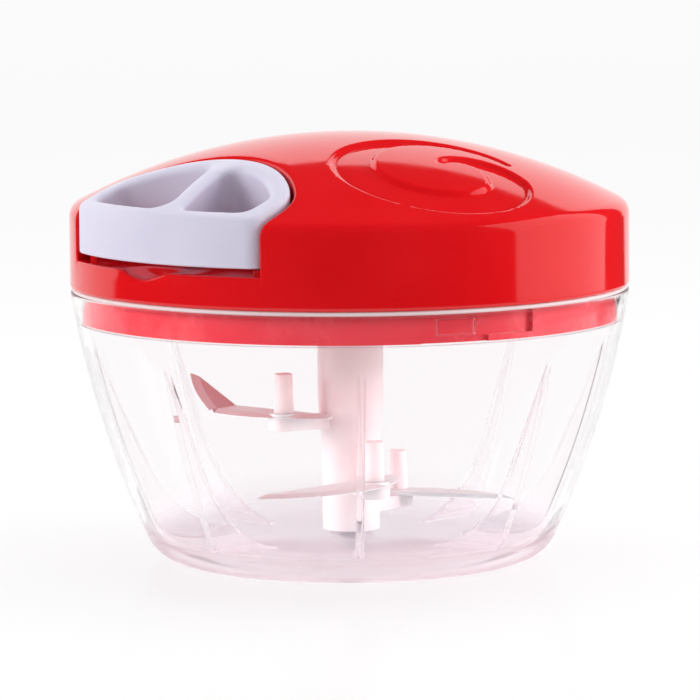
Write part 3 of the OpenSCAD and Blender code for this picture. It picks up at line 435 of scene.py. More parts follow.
def lid_skin(bm, wall, grow, ledge_z, edge, step, ornament):
    """One side of the lid's shell, wall deep inside its outer face. Returns the ring of vertices at its lower end."""
    crown_r, body_r, shoulder_r = CROWN_R - wall, BODY_R - wall, SHOULDER_R - wall * SHOULDER_THIN
    shoulder_u = body_r - shoulder_r
    shoulder_z = CROWN_MID + math.sqrt((crown_r - shoulder_r) ** 2 - shoulder_u ** 2)
    start = math.atan2(shoulder_z - CROWN_MID, shoulder_u)
    meet_r = shoulder_u + shoulder_r * math.cos(start)
    bends = [start * (1 - k / SHOULDER_ROWS) for k in range(SHOULDER_ROWS + 1)]
    profile = [(shoulder_u + shoulder_r * math.cos(a), shoulder_z + shoulder_r * math.sin(a), a) for a in bends]
    profile += [(body_r, shoulder_z + (ledge_z - shoulder_z) * k / SIDE_ROWS, 0) for k in range(1, SIDE_ROWS + 1)]

    def side_ring(r, z, g):
        """Points round the lid from the recess's left front end by the back to its right front end."""
        turn = math.asin((SIDE + g) / r)
        return [plan(p.x, p.y, z) for p in arc((0, 0), r, -turn, turn - math.tau, LID_SIDES)]

    def column(r, z, a, side, g):
        """A point on the recess's edge where it runs down the lid's side, and the face's normal there."""
        v = side * (SIDE + g)
        u = math.sqrt(r * r - v * v)
        return plan(u, v, z), plan(u / r * math.cos(a), v / r * math.cos(a), math.sin(a))

    # The recess's edge: up its right front, round the back and down its left front
    outer, sharp, lower = [], [], []

    def edge_point(p, c, normal, across):
        """Notes where the rounded edge leaves the outer face, its sharp corner and its end on the recess's wall."""
        along = normal - normal.dot(across) * across
        outer.append(p)
        sharp.append(c)
        lower.append(c - edge * along.normalized())

    for r, z, a in reversed(profile[1:]):
        c, normal = column(r, z, a, 1, grow)
        edge_point(column(r, z, a, 1, grow + edge)[0], c, normal, plan(0, 1, 0))
    line_out, line = recess_line(grow + edge, meet_r), recess_line(grow, meet_r)
    for k, (p, c) in enumerate(zip(line_out, line)):
        before, after = line[max(k - 1, 0)], line[min(k + 1, len(line) - 1)]
        across = plan(after.y - before.y, before.x - after.x, 0).normalized()
        point = plan(c.x, c.y, crown_height(c.x, c.y, crown_r))
        normal = (point - Vector((0, 0, CROWN_MID))).normalized()
        edge_point(plan(p.x, p.y, crown_height(p.x, p.y, crown_r)), point, normal, across)
    for r, z, a in profile[1:]:
        c, normal = column(r, z, a, -1, grow)
        edge_point(column(r, z, a, -1, grow + edge)[0], c, normal, plan(0, -1, 0))

    rows = [row(bm, points) for points in [outer, *rounded(outer, sharp, lower, LID_EDGE_STEPS), lower]]
    for a, b in zip(rows, rows[1:]):
        join(bm, a, b)
    levels = len(profile) - 1
    crown_edge = rows[0][levels:-levels]
    wall_top = rows[-1][levels:-levels]

    # The crown, with the ornament
    shoulder = row(bm, side_ring(meet_r, profile[0][1], grow + edge)[1:-1])
    loop = crown_edge + shoulder
    away = clear_of(loop, GRID_ROOM * step)
    middle = Vector((SPIRAL_R * math.cos(SPIRAL_AZ), SPIRAL_R * math.sin(SPIRAL_AZ)))
    fine_r = SPIRAL_D / 2 + SPIRAL_MARGIN if ornament else 0

    def on_crown(u, v):
        """True on the crown, off its edges."""
        return math.hypot(u, v) < meet_r and not in_recess(u, v, grow + edge) and away(u, v)

    inner = grid((-meet_r, -meet_r), (meet_r, meet_r), step,
                 lambda u, v: on_crown(u, v) and (Vector((u, v)) - middle).length > fine_r)
    if ornament:
        box = Vector((fine_r, fine_r))
        inner += grid(middle - box, middle + box, SPIRAL_STEP,
                      lambda u, v: on_crown(u, v) and (Vector((u, v)) - middle).length <= fine_r)

    def crown_surface(u, v):
        """Height of this side of the crown."""
        depth = spiral_depth(u, v) if ornament else 0
        return crown_height(u, v, crown_r - depth)

    fill(bm, loop, inner, crown_surface)

    # The shoulder and the upright side down to the ledge
    side = [crown_edge[-1], *shoulder, crown_edge[0]]
    for k, (r, z, _) in enumerate(profile[1:]):
        inside = row(bm, side_ring(r, z, grow + edge)[1:-1])
        below = [rows[0][-levels + k], *inside, rows[0][levels - 1 - k]]
        join(bm, side, below)
        side = below

    # The recess's wall, down to the ledge
    upper = wall_top
    right_front, left_front = rows[-1][levels::-1], rows[-1][-levels - 1:]
    for k in range(1, levels + 1):
        below = row(bm, [Vector((w.co.x, w.co.y, w.co.z + (ledge_z - w.co.z) * k / levels)) for w in wall_top])
        join(bm, upper, below)
        for front, end in ((right_front, 0), (left_front, -1)):
            bm.faces.new(list(dict.fromkeys((upper[end], front[k - 1], front[k], below[end]))))
        upper = below

    # The ledge with its scoop, and its rounded lip
    def lip_line(r):
        """Points on the ledge at a distance from the axis, from left to right."""
        turn = math.asin((SIDE + grow) / r)
        return [plan(p.x, p.y, ledge_z - scoop_depth(p.x, p.y)) for p in arc((0, 0), r, -turn, turn, LIP_STEPS)]

    over, corner = lip_line(body_r - edge), lip_line(body_r)
    under = [c - Vector((0, 0, edge)) for c in corner]
    ends = rows[-1][-1], rows[-1][0]
    lip = [[ends[0], *row(bm, over[1:-1]), ends[1]]]
    lip += [row(bm, points) for points in [*rounded(over, corner, under, LID_EDGE_STEPS), under]]
    for a, b in zip(lip, lip[1:]):
        join(bm, a, b)
    ledge_loop = [*upper, ends[0], *lip[0][1:-1], ends[1]]
    fine = step / 2
    away = clear_of(ledge_loop, GRID_ROOM * fine)
    inner = grid((HANDLE_BACK, -SIDE), (body_r, SIDE), fine,
                 lambda u, v: math.hypot(u, v) < body_r - edge and in_recess(u, v, grow) and away(u, v))
    fill(bm, ledge_loop, inner, lambda u, v: ledge_z - scoop_depth(u, v))

    # The side below the ledge, all round, and the two small corners beside the lip
    low_z = ledge_z - edge - SCOOP_DEPTH - LIP_ROOM
    front = row(bm, [Vector((p.x, p.y, low_z)) for p in under])
    back = row(bm, side_ring(body_r, low_z, grow + edge))
    join(bm, lip[-1], front)
    join(bm, side, back)
    for side_end, lip_end in ((-1, 0), (0, -1)):
        around = [*(r[side_end] for r in rows), *(r[lip_end] for r in lip[1:]), front[lip_end], back[lip_end]]
        bm.faces.new(around)
    return front + back[::-1]


def add_rails(bm):
    """The two low rails on the ledge."""
    for side in (1, -1):
        rail = bmesh.ops.create_cube(bm, size=1)["verts"]
        bmesh.ops.scale(bm, verts=rail, vec=(RAIL_W, RAIL_LEN, RAIL_H + RAIL_SINK))
        spot = plan(RAIL_START + RAIL_LEN / 2, side * RAIL_V, LEDGE_Z + (RAIL_H - RAIL_SINK) / 2)
        bmesh.ops.translate(bm, verts=rail, vec=spot)
        edges = list(dict.fromkeys(e for v in rail for e in v.link_edges))
        round_edges(bm, edges, RAIL_EDGE, 2)


def make_lid():
    """The domed lid as one shell: crown with its ornament, recess, ledge with scoop and upright side."""
    bm = bmesh.new()
    outside = lid_skin(bm, 0, HANDLE_GAP, LEDGE_Z, LID_EDGE, CROWN_STEP, True)
    inside = lid_skin(bm, LID_WALL, HANDLE_GAP + RECESS_WALL, LEDGE_Z - RECESS_WALL, INSIDE_EDGE, INSIDE_STEP, False)
    rings = [outside]
    for inset, rise in LID_FOOT:
        share = 1 - inset / BODY_R
        rings.append(row(bm, [Vector((v.co.x * share, v.co.y * share, LID_Z + rise)) for v in outside]))
    rings.append(inside)
    for a, b in zip(rings, rings[1:]):
        join(bm, a, b, closed=True)
    add_rails(bm)
    return finish_mesh(bm, "lid_shell")


def handle_line(grow):
    """Closed outline of the handle, grown."""
    front_v = SIDE - FRONT_R
    front_u = math.sqrt((BODY_R - FRONT_R) ** 2 - front_v ** 2)
    turn = math.atan2(front_v, front_u)
    half = arc((0, 0), BODY_R + grow, 0, turn, 18)[:-1]
    half += arc((front_u, front_v), FRONT_R + grow, turn, math.pi / 2, 8)
    half += arc((CORNER_U, CORNER_V), CORNER_R + grow, math.pi / 2, LEAN, 8)[:-1]
    half += arc((BACK_U, 0), BACK_R + grow, LEAN, math.pi, 30)
    return half + [Vector((p.x, -p.y)) for p in reversed(half[1:-1])]


def line_circle(point, along, mid, radius, forward):
    """Where a line meets a circle, on its forward or its backward side."""
    d = point - mid
    b = d.dot(along)
    root = math.sqrt(b * b - d.length_squared + radius ** 2)
    return point + along * (-b + (root if forward else -root))


def finger_line(side, grow):
    """Closed outline of the finger hole on one side, grown: web, front bar, side, back."""
    turn, shift = WEB_TURN * side, WEB_SHIFT * side
    along = Vector((math.cos(turn), math.sin(turn)))
    into = Vector((-along.y, along.x))
    web_point = Vector((WEB_U, shift)) + into * (WEB / 2 + FINGER_ROUND)
    back = Vector((BACK_U, 0))
    bar_r, back_r, wall_v = BODY_R - BAR, BACK_R - RIM, SIDE - RIM
    web_front = line_circle(web_point, along, Vector((0, 0)), bar_r - FINGER_ROUND, True)
    web_back = line_circle(web_point, along, back, back_r - FINGER_ROUND, False)
    front_v = wall_v - FINGER_ROUND
    front_side = Vector((math.sqrt((bar_r - FINGER_ROUND) ** 2 - front_v ** 2), front_v))
    to_web = math.atan2(-into.y, -into.x)

    def way(a):
        """Angle of a direction in plan."""
        return math.atan2(a.y, a.x)

    points = arc(web_front, FINGER_ROUND + grow, to_web, way(web_front), 10)
    points += arc((0, 0), bar_r + grow, way(web_front), way(front_side), 12)[1:-1]
    points += arc(front_side, FINGER_ROUND + grow, way(front_side), math.pi / 2, 10)
    points += arc((CORNER_U, CORNER_V), CORNER_R - RIM + grow, math.pi / 2, LEAN, 5)
    points += arc(back, back_r + grow, LEAN, way(web_back - back), 16)[1:-1]
    points += arc(web_back, FINGER_ROUND + grow, way(web_back - back), to_web + math.tau, 12)
    gap = points[-1], points[0]
    points += [gap[0].lerp(gap[1], k / 12) for k in range(1, 12)]
    return [Vector((p.x, p.y * side)) for p in points]


def make_handle():
    """The handle: a curved top, two finger holes with soft edges and the web between them."""
    bm = bmesh.new()
    top_mid = crown_height(HANDLE_BACK, 0) - math.sqrt(HANDLE_TOP_R ** 2 - HANDLE_BACK ** 2)

    def top(u, v):
        """Height of the handle's curved top."""
        return top_mid + math.sqrt(HANDLE_TOP_R ** 2 - u * u - v * v)

    def wall(line, edge):
        """Rows from the top over a rounded edge, down a wall and under a rounded foot. line(g) is set back by g."""
        over = [plan(p.x, p.y, top(p.x, p.y)) for p in line(edge)]
        corner = [plan(p.x, p.y, top(p.x, p.y)) for p in line(0)]
        under = [c - Vector((0, 0, edge)) for c in corner]
        foot_corner = [plan(p.x, p.y, HANDLE_Z) for p in line(0)]
        foot_over = [c + Vector((0, 0, HANDLE_FOOT_EDGE)) for c in foot_corner]
        foot_under = [plan(p.x, p.y, HANDLE_Z) for p in line(HANDLE_FOOT_EDGE)]
        upright = [[a.lerp(b, share) for a, b in zip(under, foot_over)] for share in HANDLE_WALL_ROWS]
        made = [over, *rounded(over, corner, under, HANDLE_EDGE_STEPS), under, *upright, foot_over,
                *rounded(foot_over, foot_corner, foot_under, HANDLE_FOOT_STEPS), foot_under]
        made = [row(bm, points) for points in made]
        for a, b in zip(made, made[1:]):
            join(bm, a, b, closed=True)
        return made[0], made[-1]

    outer = wall(lambda g: handle_line(-g), HANDLE_EDGE)
    holes = [wall(lambda g, s=s: finger_line(s, g), FINGER_EDGE) for s in (1, -1)]
    fill(bm, outer[0], [], top, [h[0] for h in holes])
    fill(bm, outer[1], [], lambda u, v: HANDLE_Z, [h[1] for h in holes])
    return finish_mesh(bm, "handle_grip")


def bow_round(inset, z0, radius):
    """Middle of the rounded corner between the bowl's bowed wall, set in, and a floor at z0."""
    bow = Vector((BODY_R - WALL_BOW_R * math.cos(RIM_LEAN), BOWL_H + WALL_BOW_R * math.sin(RIM_LEAN)))
    rise = bow.y - z0 - radius
    return bow, Vector((bow.x + math.sqrt((WALL_BOW_R - inset - radius) ** 2 - rise ** 2), z0 + radius))


def bow_angle(bow, radius, z):
    """Angle at which the bowed wall passes a height."""
    return math.asin((z - bow.y) / radius)


def bowl_profile():
    """Half section of the bowl from the middle of its underside over the rim to the seat of the pivot pin."""
    bow, foot = bow_round(0, 0, FOOT_ROUND)
    _, corner = bow_round(BOWL_WALL, FLOOR_Z, INNER_ROUND)
    inner_r = WALL_BOW_R - BOWL_WALL
    to_foot = math.atan2(foot.y - bow.y, foot.x - bow.x)
    to_corner = math.atan2(corner.y - bow.y, corner.x - bow.x)
    ring_u = foot.x - FOOT_RING
    points = [Vector((0, FOOT_HOLLOW)), Vector((ring_u - FOOT_SLOPE, FOOT_HOLLOW)), Vector((ring_u, 0))]
    points += arc(foot, FOOT_ROUND, -math.pi / 2, to_foot, 16)
    points += arc(bow, WALL_BOW_R, to_foot, bow_angle(bow, WALL_BOW_R, BOWL_H - RIM_EDGE), 24)[1:]
    rim = points[-1].x
    points += arc((rim - RIM_EDGE, BOWL_H - RIM_EDGE), RIM_EDGE, 0, math.pi / 2, 4)[1:]
    points += arc((SOCKET_R + RIM_EDGE, BOWL_H - RIM_EDGE), RIM_EDGE, math.pi / 2, math.pi, 4)
    points += [Vector((SOCKET_R, SOCKET_Z))]
    points += arc(bow, inner_r, bow_angle(bow, inner_r, SOCKET_Z), to_corner, 22)
    points += arc(corner, INNER_ROUND, to_corner, -math.pi / 2, 12)[1:]
    points += [Vector((PIN_BOSS_R + BOSS_FLARE, FLOOR_Z)), Vector((PIN_BOSS_R, FLOOR_Z + BOSS_RISE))]
    points += [Vector((PIN_BOSS_R, PIN_BOSS_Z)), Vector((PIN_R, PIN_BOSS_Z)), Vector((PIN_R, PIN_FOOT_Z))]
    return points + [Vector((0, PIN_FOOT_Z))]


def fin_outline():
    """Outline of a fin, from its lower horn up its curved free edge and back down inside the wall."""
    bow, corner = bow_round(BOWL_WALL / 2, (FLOOR_Z + FOOT_HOLLOW) / 2, INNER_ROUND)
    skin_r = WALL_BOW_R - BOWL_WALL / 2
    horn = -math.acos(FIN_START / FIN_CURVE)
    points = arc(FIN_MID, FIN_CURVE, horn, -FIN_LEAN, 24)
    to_corner = math.atan2(corner.y - bow.y, corner.x - bow.x)
    points += arc(bow, skin_r, bow_angle(bow, skin_r, FIN_TOP), to_corner, 14)
    points += arc(corner, INNER_ROUND, to_corner, -math.pi / 2, 8)[1:]
    points.append(Vector((points[0].x, corner.y - INNER_ROUND)))
    return points


def on_free_edge(p):
    """True for a corner of the fin's curved free edge."""
    return abs((Vector((p.x, p.z)) - FIN_MID).length - FIN_CURVE) < 0.01 * mm


def turned(az):
    """Turn about the bowl's axis to an azimuth from the pull."""
    return Matrix.Rotation(az - math.pi / 2, 4, "Z")


def make_ribs():
    """The fins and the locking lugs of the bowl, as one tool to be joined with its wall."""
    bm = bmesh.new()
    face = bm.faces.new(row(bm, [Vector((p.x, -FIN_T / 2, p.y)) for p in fin_outline()]))
    grown = bmesh.ops.extrude_face_region(bm, geom=[face])["geom"]
    bmesh.ops.translate(bm, verts=vertices(grown), vec=(0, FIN_T, 0))
    free = [e for e in bm.edges if abs(e.verts[0].co.y - e.verts[1].co.y) < FIN_T / 2
            and all(on_free_edge(v.co) for v in e.verts)]
    round_edges(bm, free, FIN_EDGE, 3)
    fin = bm.verts[:] + bm.edges[:] + bm.faces[:]
    bmesh.ops.rotate(bm, verts=bm.verts, cent=(0, 0, 0), matrix=turned(FIN_AZ).to_3x3())
    for k in range(1, FIN_COUNT):
        copy = vertices(bmesh.ops.duplicate(bm, geom=fin)["geom"])
        bmesh.ops.rotate(bm, verts=copy, cent=(0, 0, 0), matrix=Matrix.Rotation(k * math.tau / FIN_COUNT, 3, "Z"))
    r0, r1 = SOCKET_R - LUG_REACH, SOCKET_R + LUG_SINK
    for k in range(LUG_COUNT):
        spot = turned(LUG_AZ + k * math.tau / LUG_COUNT - LUG_HALF)
        corners = [(r0, LUG_Z), (r1, LUG_Z), (r1, LUG_Z + LUG_H), (r0, LUG_Z + LUG_H)]
        face = bm.faces.new(row(bm, [spot @ Vector((r, 0, z)) for r, z in corners]))
        bmesh.ops.spin(bm, geom=[face], cent=(0, 0, 0), axis=(0, 0, 1), angle=2 * LUG_HALF, steps=LUG_STEPS,
                       use_merge=False)
    return finish_mesh(bm, "bowl_ribs", smooth=30)


def make_bowl():
    """The clear bowl: a lathed wall with fins and lugs grown on its inside."""
    bm = bmesh.new()
    verts = row(bm, [Vector((p.x, 0, p.y)) for p in bowl_profile()])
    edges = [bm.edges.new(pair) for pair in zip(verts, verts[1:])]
    bmesh.ops.spin(bm, geom=verts + edges, cent=(0, 0, 0), axis=(0, 0, 1), angle=math.tau, steps=BOWL_SIDES,
                   use_merge=True)
    bowl = finish_mesh(bm, "bowl_clear", smooth=35)
    ribs = make_ribs()
    union = bowl.modifiers.new("ribs", "BOOLEAN")
    union.operation = "UNION"
    union.solver = "EXACT"
    union.object = ribs
    depsgraph = bpy.context.evaluated_depsgraph_get()
    mesh = bpy.data.meshes.new_from_object(bowl.evaluated_get(depsgraph))
    bpy.data.objects.remove(bowl)
    bpy.data.objects.remove(ribs)
    bm = bmesh.new()
    bm.from_mesh(mesh)
    bpy.data.meshes.remove(mesh)
    return finish_mesh(bm, "bowl_clear", smooth=35)


def make_cord():
    """The cord's free stretch between eyelet and handle, which draws out as the handle is pulled."""
    bm = bmesh.new()
    circle = bmesh.ops.create_circle(bm, radius=CORD_R, segments=CORD_SIDES)["verts"]
    bmesh.ops.rotate(bm, verts=circle, cent=(0, 0, 0), matrix=Matrix.Rotation(math.pi / 2, 3, "X"))
    bmesh.ops.translate(bm, verts=circle, vec=plan(CORD_START, 0, CORD_Z))
    bmesh.ops.spin(bm, geom=bm.verts[:] + bm.edges[:], axis=(0, 0, 1), angle=0, steps=CORD_STEPS,
                   dvec=plan((CORD_END - CORD_START) / CORD_STEPS, 0, 0))
    bmesh.ops.holes_fill(bm, edges=[e for e in bm.edges if e.is_boundary], sides=CORD_SIDES)
    piece = finish_mesh(bm, "cord_stretch", smooth=60)
    return piece, plan(CORD_START + CORD_HELD, 0, CORD_Z), plan(CORD_END - CORD_HELD, 0, CORD_Z)


class Nodes:
    """A node tree that is built a node at a time."""

    def __init__(self, tree):
        self.tree = tree
        self.output = next(n for n in tree.nodes if n.type.startswith("OUTPUT"))

    def add(self, kind, **values):
        """A new node with some of its sockets or settings."""
        node = self.tree.nodes.new(kind)
        for key, value in values.items():
            if key in node.inputs:
                node.inputs[key].default_value = value
            else:
                setattr(node, key, value)
        return node

    def link(self, a, b):
        """A wire from an output to an input."""
        self.tree.links.new(a, b)

    def maths(self, kind, a, b):
        """Two factors put together."""
        node = self.add("ShaderNodeMath", operation=kind)
        self.link(a, node.inputs[0])
        self.link(b, node.inputs[1])
        return node.outputs[0]

    def along(self, vector, way):
        """How far a vector goes along a fixed direction."""
        node = self.add("ShaderNodeVectorMath", operation="DOT_PRODUCT")
        self.link(vector, node.inputs[0])
        node.inputs[1].default_value = way
        return node.outputs["Value"]

    def bearing(self, vector, way):
        """How nearly a vector points along a level direction, whatever its rise: 1 along it, -1 against it."""
        level = self.add("ShaderNodeVectorMath", operation="MULTIPLY")
        level.inputs[1].default_value = (1, 1, 0)
        self.link(vector, level.inputs[0])
        unit = self.add("ShaderNodeVectorMath", operation="NORMALIZE")
        self.link(level.outputs["Vector"], unit.inputs[0])
        return self.along(unit.outputs["Vector"], way)

    def spread(self, factor, low, high, start=0.3, end=0.7):
        """A factor between start and end, spread softly from low to high."""
        node = self.add("ShaderNodeMapRange", interpolation_type="SMOOTHSTEP")
        for key, value in zip(("From Min", "From Max", "To Min", "To Max"), (start, end, low, high)):
            node.inputs[key].default_value = value
        self.link(factor, node.inputs["Value"])
        return node.outputs["Result"]

    def choose(self, factor, a, b):
        """The first of two factors where the choice is 0, the second where it is 1."""
        node = self.add("ShaderNodeMix")
        for source, socket in ((factor, node.inputs[0]), (a, node.inputs[2]), (b, node.inputs[3])):
            if isinstance(source, float):
                socket.default_value = source
            else:
                self.link(source, socket)
        return node.outputs[0]

    def rays(self):
        """Two factors: 1 for what the gloss mirrors, and 1 for what is seen straight or through clear plastic."""
        path = self.add("ShaderNodeLightPath").outputs
        return path["Is Glossy Ray"], self.maths("MAXIMUM", path["Is Camera Ray"], path["Is Transmission Ray"])

    def layer(self, factor, a, b):
        """Two shaders mixed by a factor."""
        node = self.add("ShaderNodeMixShader")
        for source, socket in zip((factor, a, b), node.inputs):
            self.link(source, socket)
        return node.outputs[0]


class Finish(Nodes):
    """A material, built from the Principled shader out."""

    def __init__(self, name):
        self.material = bpy.data.materials.new(name)
        self.material.use_nodes = True
        super().__init__(self.material.node_tree)
        self.shader = self.tree.nodes["Principled BSDF"]
        self.coords = self.add("ShaderNodeTexCoord").outputs["Object"]

    def set(self, **values):
        """Fixed values of the Principled shader."""
        for key, value in values.items():
            self.shader.inputs[key.replace("_", " ")].default_value = value

    def noise(self, scale, detail, stretch=None):
        """Noise on the piece's own coordinates."""
        node = self.add("ShaderNodeTexNoise", Scale=scale, Detail=detail)
        source = self.coords
        if stretch:
            mapping = self.add("ShaderNodeMapping", Scale=stretch)
            self.link(source, mapping.inputs["Vector"])
            source = mapping.outputs["Vector"]
        self.link(source, node.inputs["Vector"])
        return node.outputs["Fac"]

    def edges(self, radius):
        """1 on edges and corners sharper than a radius, 0 on the faces between them."""
        bevel = self.add("ShaderNodeBevel", samples=2, Radius=radius)
        face = self.add("ShaderNodeNewGeometry")
        dot = self.add("ShaderNodeVectorMath", operation="DOT_PRODUCT")
        self.link(bevel.outputs["Normal"], dot.inputs[0])
        self.link(face.outputs["Normal"], dot.inputs[1])
        return self.spread(dot.outputs["Value"], 1, 0, 0.8, 0.99)

    def colours(self, factor, a, b):
        """A colour between two, by a factor. Each is a colour or the output of a node."""
        node = self.add("ShaderNodeMix", data_type="RGBA")
        self.link(factor, node.inputs[0])
        for source, socket in ((a, node.inputs[6]), (b, node.inputs[7])):
            if isinstance(source, tuple):
                socket.default_value = (*source, 1)
            else:
                self.link(source, socket)
        return node.outputs[2]

    def tone(self, scale, dark, light, worn):
        """Base colour that drifts between two tones, and goes to a third on worn edges."""
        drift = self.spread(self.noise(scale, detail=3), 0, 1)
        rub = self.spread(self.noise(WORN_SCALE, detail=3), *WORN_SHARES)
        rub = self.maths("MULTIPLY", self.edges(WORN_R), rub)
        self.link(self.colours(rub, self.colours(drift, dark, light), worn), self.shader.inputs["Base Color"])

    def gloss(self, scale, low, high):
        """Roughness that drifts between two levels."""
        self.link(self.spread(self.noise(scale, detail=5), low, high), self.shader.inputs["Roughness"])

    def bump(self, height, depth, strength=1.0):
        """Bump of a real depth from a height factor."""
        node = self.add("ShaderNodeBump", Strength=strength, Distance=depth)
        self.link(height, node.inputs["Height"])
        self.link(node.outputs["Normal"], self.shader.inputs["Normal"])


def shaded(colour, share):
    """A colour made darker or paler by a share."""
    return tuple(min(1, share * c) for c in colour)


def red_plastic(name, dark, light, worn, rough):
    """Glossy moulded plastic with a faint flow in its colour, a touch paler on rubbed edges."""
    f = Finish(name)
    f.tone(scale=38, dark=dark, light=light, worn=worn)
    f.gloss(scale=160, low=rough * 0.75, high=rough * 1.4)
    f.bump(f.noise(scale=900, detail=2), depth=0.003 * mm)
    f.set(IOR=1.5)
    return f.material


def handle_plastic():
    """Satin pale lavender plastic."""
    f = Finish("handle_lavender")
    f.tone(scale=45, dark=(0.64, 0.615, 0.745), light=(0.675, 0.65, 0.775), worn=(0.74, 0.72, 0.82))
    f.gloss(scale=220, low=0.32, high=0.45)
    f.bump(f.noise(scale=2600, detail=3), depth=0.005 * mm)
    f.set(IOR=1.48, Subsurface_Weight=0.15, Subsurface_Radius=(0.003, 0.0026, 0.003), Subsurface_Scale=1.0)
    return f.material


def clear_plastic():
    """Clear polished plastic, milky in its thick foot and on its edges, that lets the lamps through. Its dark pink
    milk in the foot is partly painted contact shadow and painted red light from the lid, and the milk on edges is a
    painted glow along them.
    """
    f = Finish("bowl_clear_plastic")
    f.gloss(scale=70, low=0.0, high=0.03)
    f.bump(f.noise(scale=55, detail=2), depth=0.015 * mm)
    f.set(Base_Color=(0.995, 0.985, 0.99, 1), Transmission_Weight=1.0, IOR=CLEAR_IOR)
    f.set(Coat_Weight=0.14, Coat_IOR=1.45, Coat_Roughness=0.02)
    # The milk's dark pink colour paints shade and the lid's red light wherever the milk shows, most of all in the foot
    milk_and_shade = f.add("ShaderNodeBsdfTranslucent", Color=(0.87, 0.80, 0.85, 1))
    # More milk low down: the thick foot's own haze, together with a painted contact shadow at the base
    haze_and_painted_light = f.spread(f.along(f.coords, (0, 0, 1)), FOOT_MILK_AND_SHADOW, MILK_WALL, 0, FOOT_MILK_AND_SHADOW_Z)
    # Milk on edges: a painted glow along the edges of the clear plastic
    haze_and_painted_light = f.maths("MAXIMUM", haze_and_painted_light, f.spread(f.edges(EDGE_MILK_AND_GLOW_R), 0, EDGE_MILK_AND_GLOW, 0, 1))
    body = f.layer(haze_and_painted_light, f.shader.outputs[0], milk_and_shade.outputs[0])
    through = f.add("ShaderNodeBsdfTransparent", Color=(0.97, 0.96, 0.975, 1))
    path = f.add("ShaderNodeLightPath")
    body = f.layer(path.outputs["Is Shadow Ray"], body, through.outputs[0])
    f.link(body, f.output.inputs["Surface"])
    return f.material


def milky_plastic(name, dark, light):
    """Translucent white plastic of the hub and its pegs."""
    f = Finish(name)
    f.tone(scale=60, dark=dark, light=light, worn=shaded(light, 1.05))
    f.gloss(scale=260, low=0.32, high=0.48)
    f.bump(f.noise(scale=1500, detail=2), depth=0.005 * mm)
    f.set(IOR=1.49, Subsurface_Weight=0.5, Subsurface_Radius=(0.006, 0.005, 0.005), Subsurface_Scale=1.0)
    return f.material


def steel(name, tone, metal, rough, stretch):
    """Ground steel with fine lines along one way and brighter edges."""
    f = Finish(name)
    lines = f.noise(scale=600, detail=6, stretch=stretch)
    colour = f.colours(f.spread(lines, 0, 1), shaded(tone, 0.92), tone)
    colour = f.colours(f.edges(GROUND_R), colour, shaded(tone, 1.12))
    f.link(colour, f.shader.inputs["Base Color"])
    f.link(f.spread(lines, rough * 0.8, rough * 1.3), f.shader.inputs["Roughness"])
    f.bump(lines, depth=0.01 * mm, strength=0.5)
    f.set(Metallic=metal)
    return f.material


def plain_plastic(name, dark, light, rough):
    """Moulded matt plastic of the inner pieces."""
    f = Finish(name)
    f.tone(scale=50, dark=dark, light=light, worn=shaded(light, 1.06))
    f.gloss(scale=300, low=rough * 0.85, high=rough * 1.15)
    f.bump(f.noise(scale=2200, detail=2), depth=0.01 * mm)
    return f.material


def braided_cord():
    """White braid: two sets of strands that cross over each other."""
    f = Finish("cord_braid")
    waves = []
    for slant in (1, -1):
        mapping = f.add("ShaderNodeMapping", Rotation=(0, 0, slant * math.radians(38)))
        f.link(f.coords, mapping.inputs["Vector"])
        wave = f.add("ShaderNodeTexWave", Scale=210, Distortion=0.6, Detail=1.0)
        f.link(mapping.outputs["Vector"], wave.inputs["Vector"])
        waves.append(wave.outputs["Fac"])
    strands = f.maths("MAXIMUM", *waves)
    tone = f.colours(strands, (0.55, 0.53, 0.52), (0.84, 0.82, 0.8))
    f.link(tone, f.shader.inputs["Base Color"])
    f.gloss(scale=900, low=0.75, high=0.95)
    f.bump(strands, depth=0.15 * mm)
    f.set(Sheen_Weight=0.3)
    return f.material


def dress(piece, material):
    """Gives a piece one material."""
    piece.data.materials.clear()
    piece.data.materials.append(material)


def make_floor():
    """White floor with a faint mirror. The gloss mirrors it as white near the object and behind it."""
    bm = bmesh.new()
    bmesh.ops.create_circle(bm, cap_ends=True, radius=FLOOR_R, segments=96)
    mesh = bpy.data.meshes.new("floor")
    bm.to_mesh(mesh)
    bm.free()
    floor = place("floor", mesh)
    f = Finish("floor_white")
    f.gloss(scale=3, low=0.06, high=0.1)
    f.set(Base_Color=(0.86, 0.86, 0.87, 1), IOR=1.3)
    glossy, seen = f.rays()
    behind = f.spread(f.bearing(f.coords, heading(BACKDROP_AZ)), SURROUND_DARK, 1, *BACKDROP_SIDES)
    reach = f.add("ShaderNodeVectorMath", operation="LENGTH")
    f.link(f.coords, reach.inputs[0])
    mirrored = f.maths("MAXIMUM", behind, f.spread(reach.outputs["Value"], 1, 0, *NEAR_FLOOR))
    white = f.add("ShaderNodeEmission")
    f.link(f.choose(glossy, 1.0, mirrored), white.inputs["Strength"])
    share = f.choose(glossy, f.choose(seen, 0.0, FLOOR_WHITE), 1.0)
    f.link(f.layer(share, f.shader.outputs[0], white.outputs[0]), f.output.inputs["Surface"])
    dress(floor, f.material)


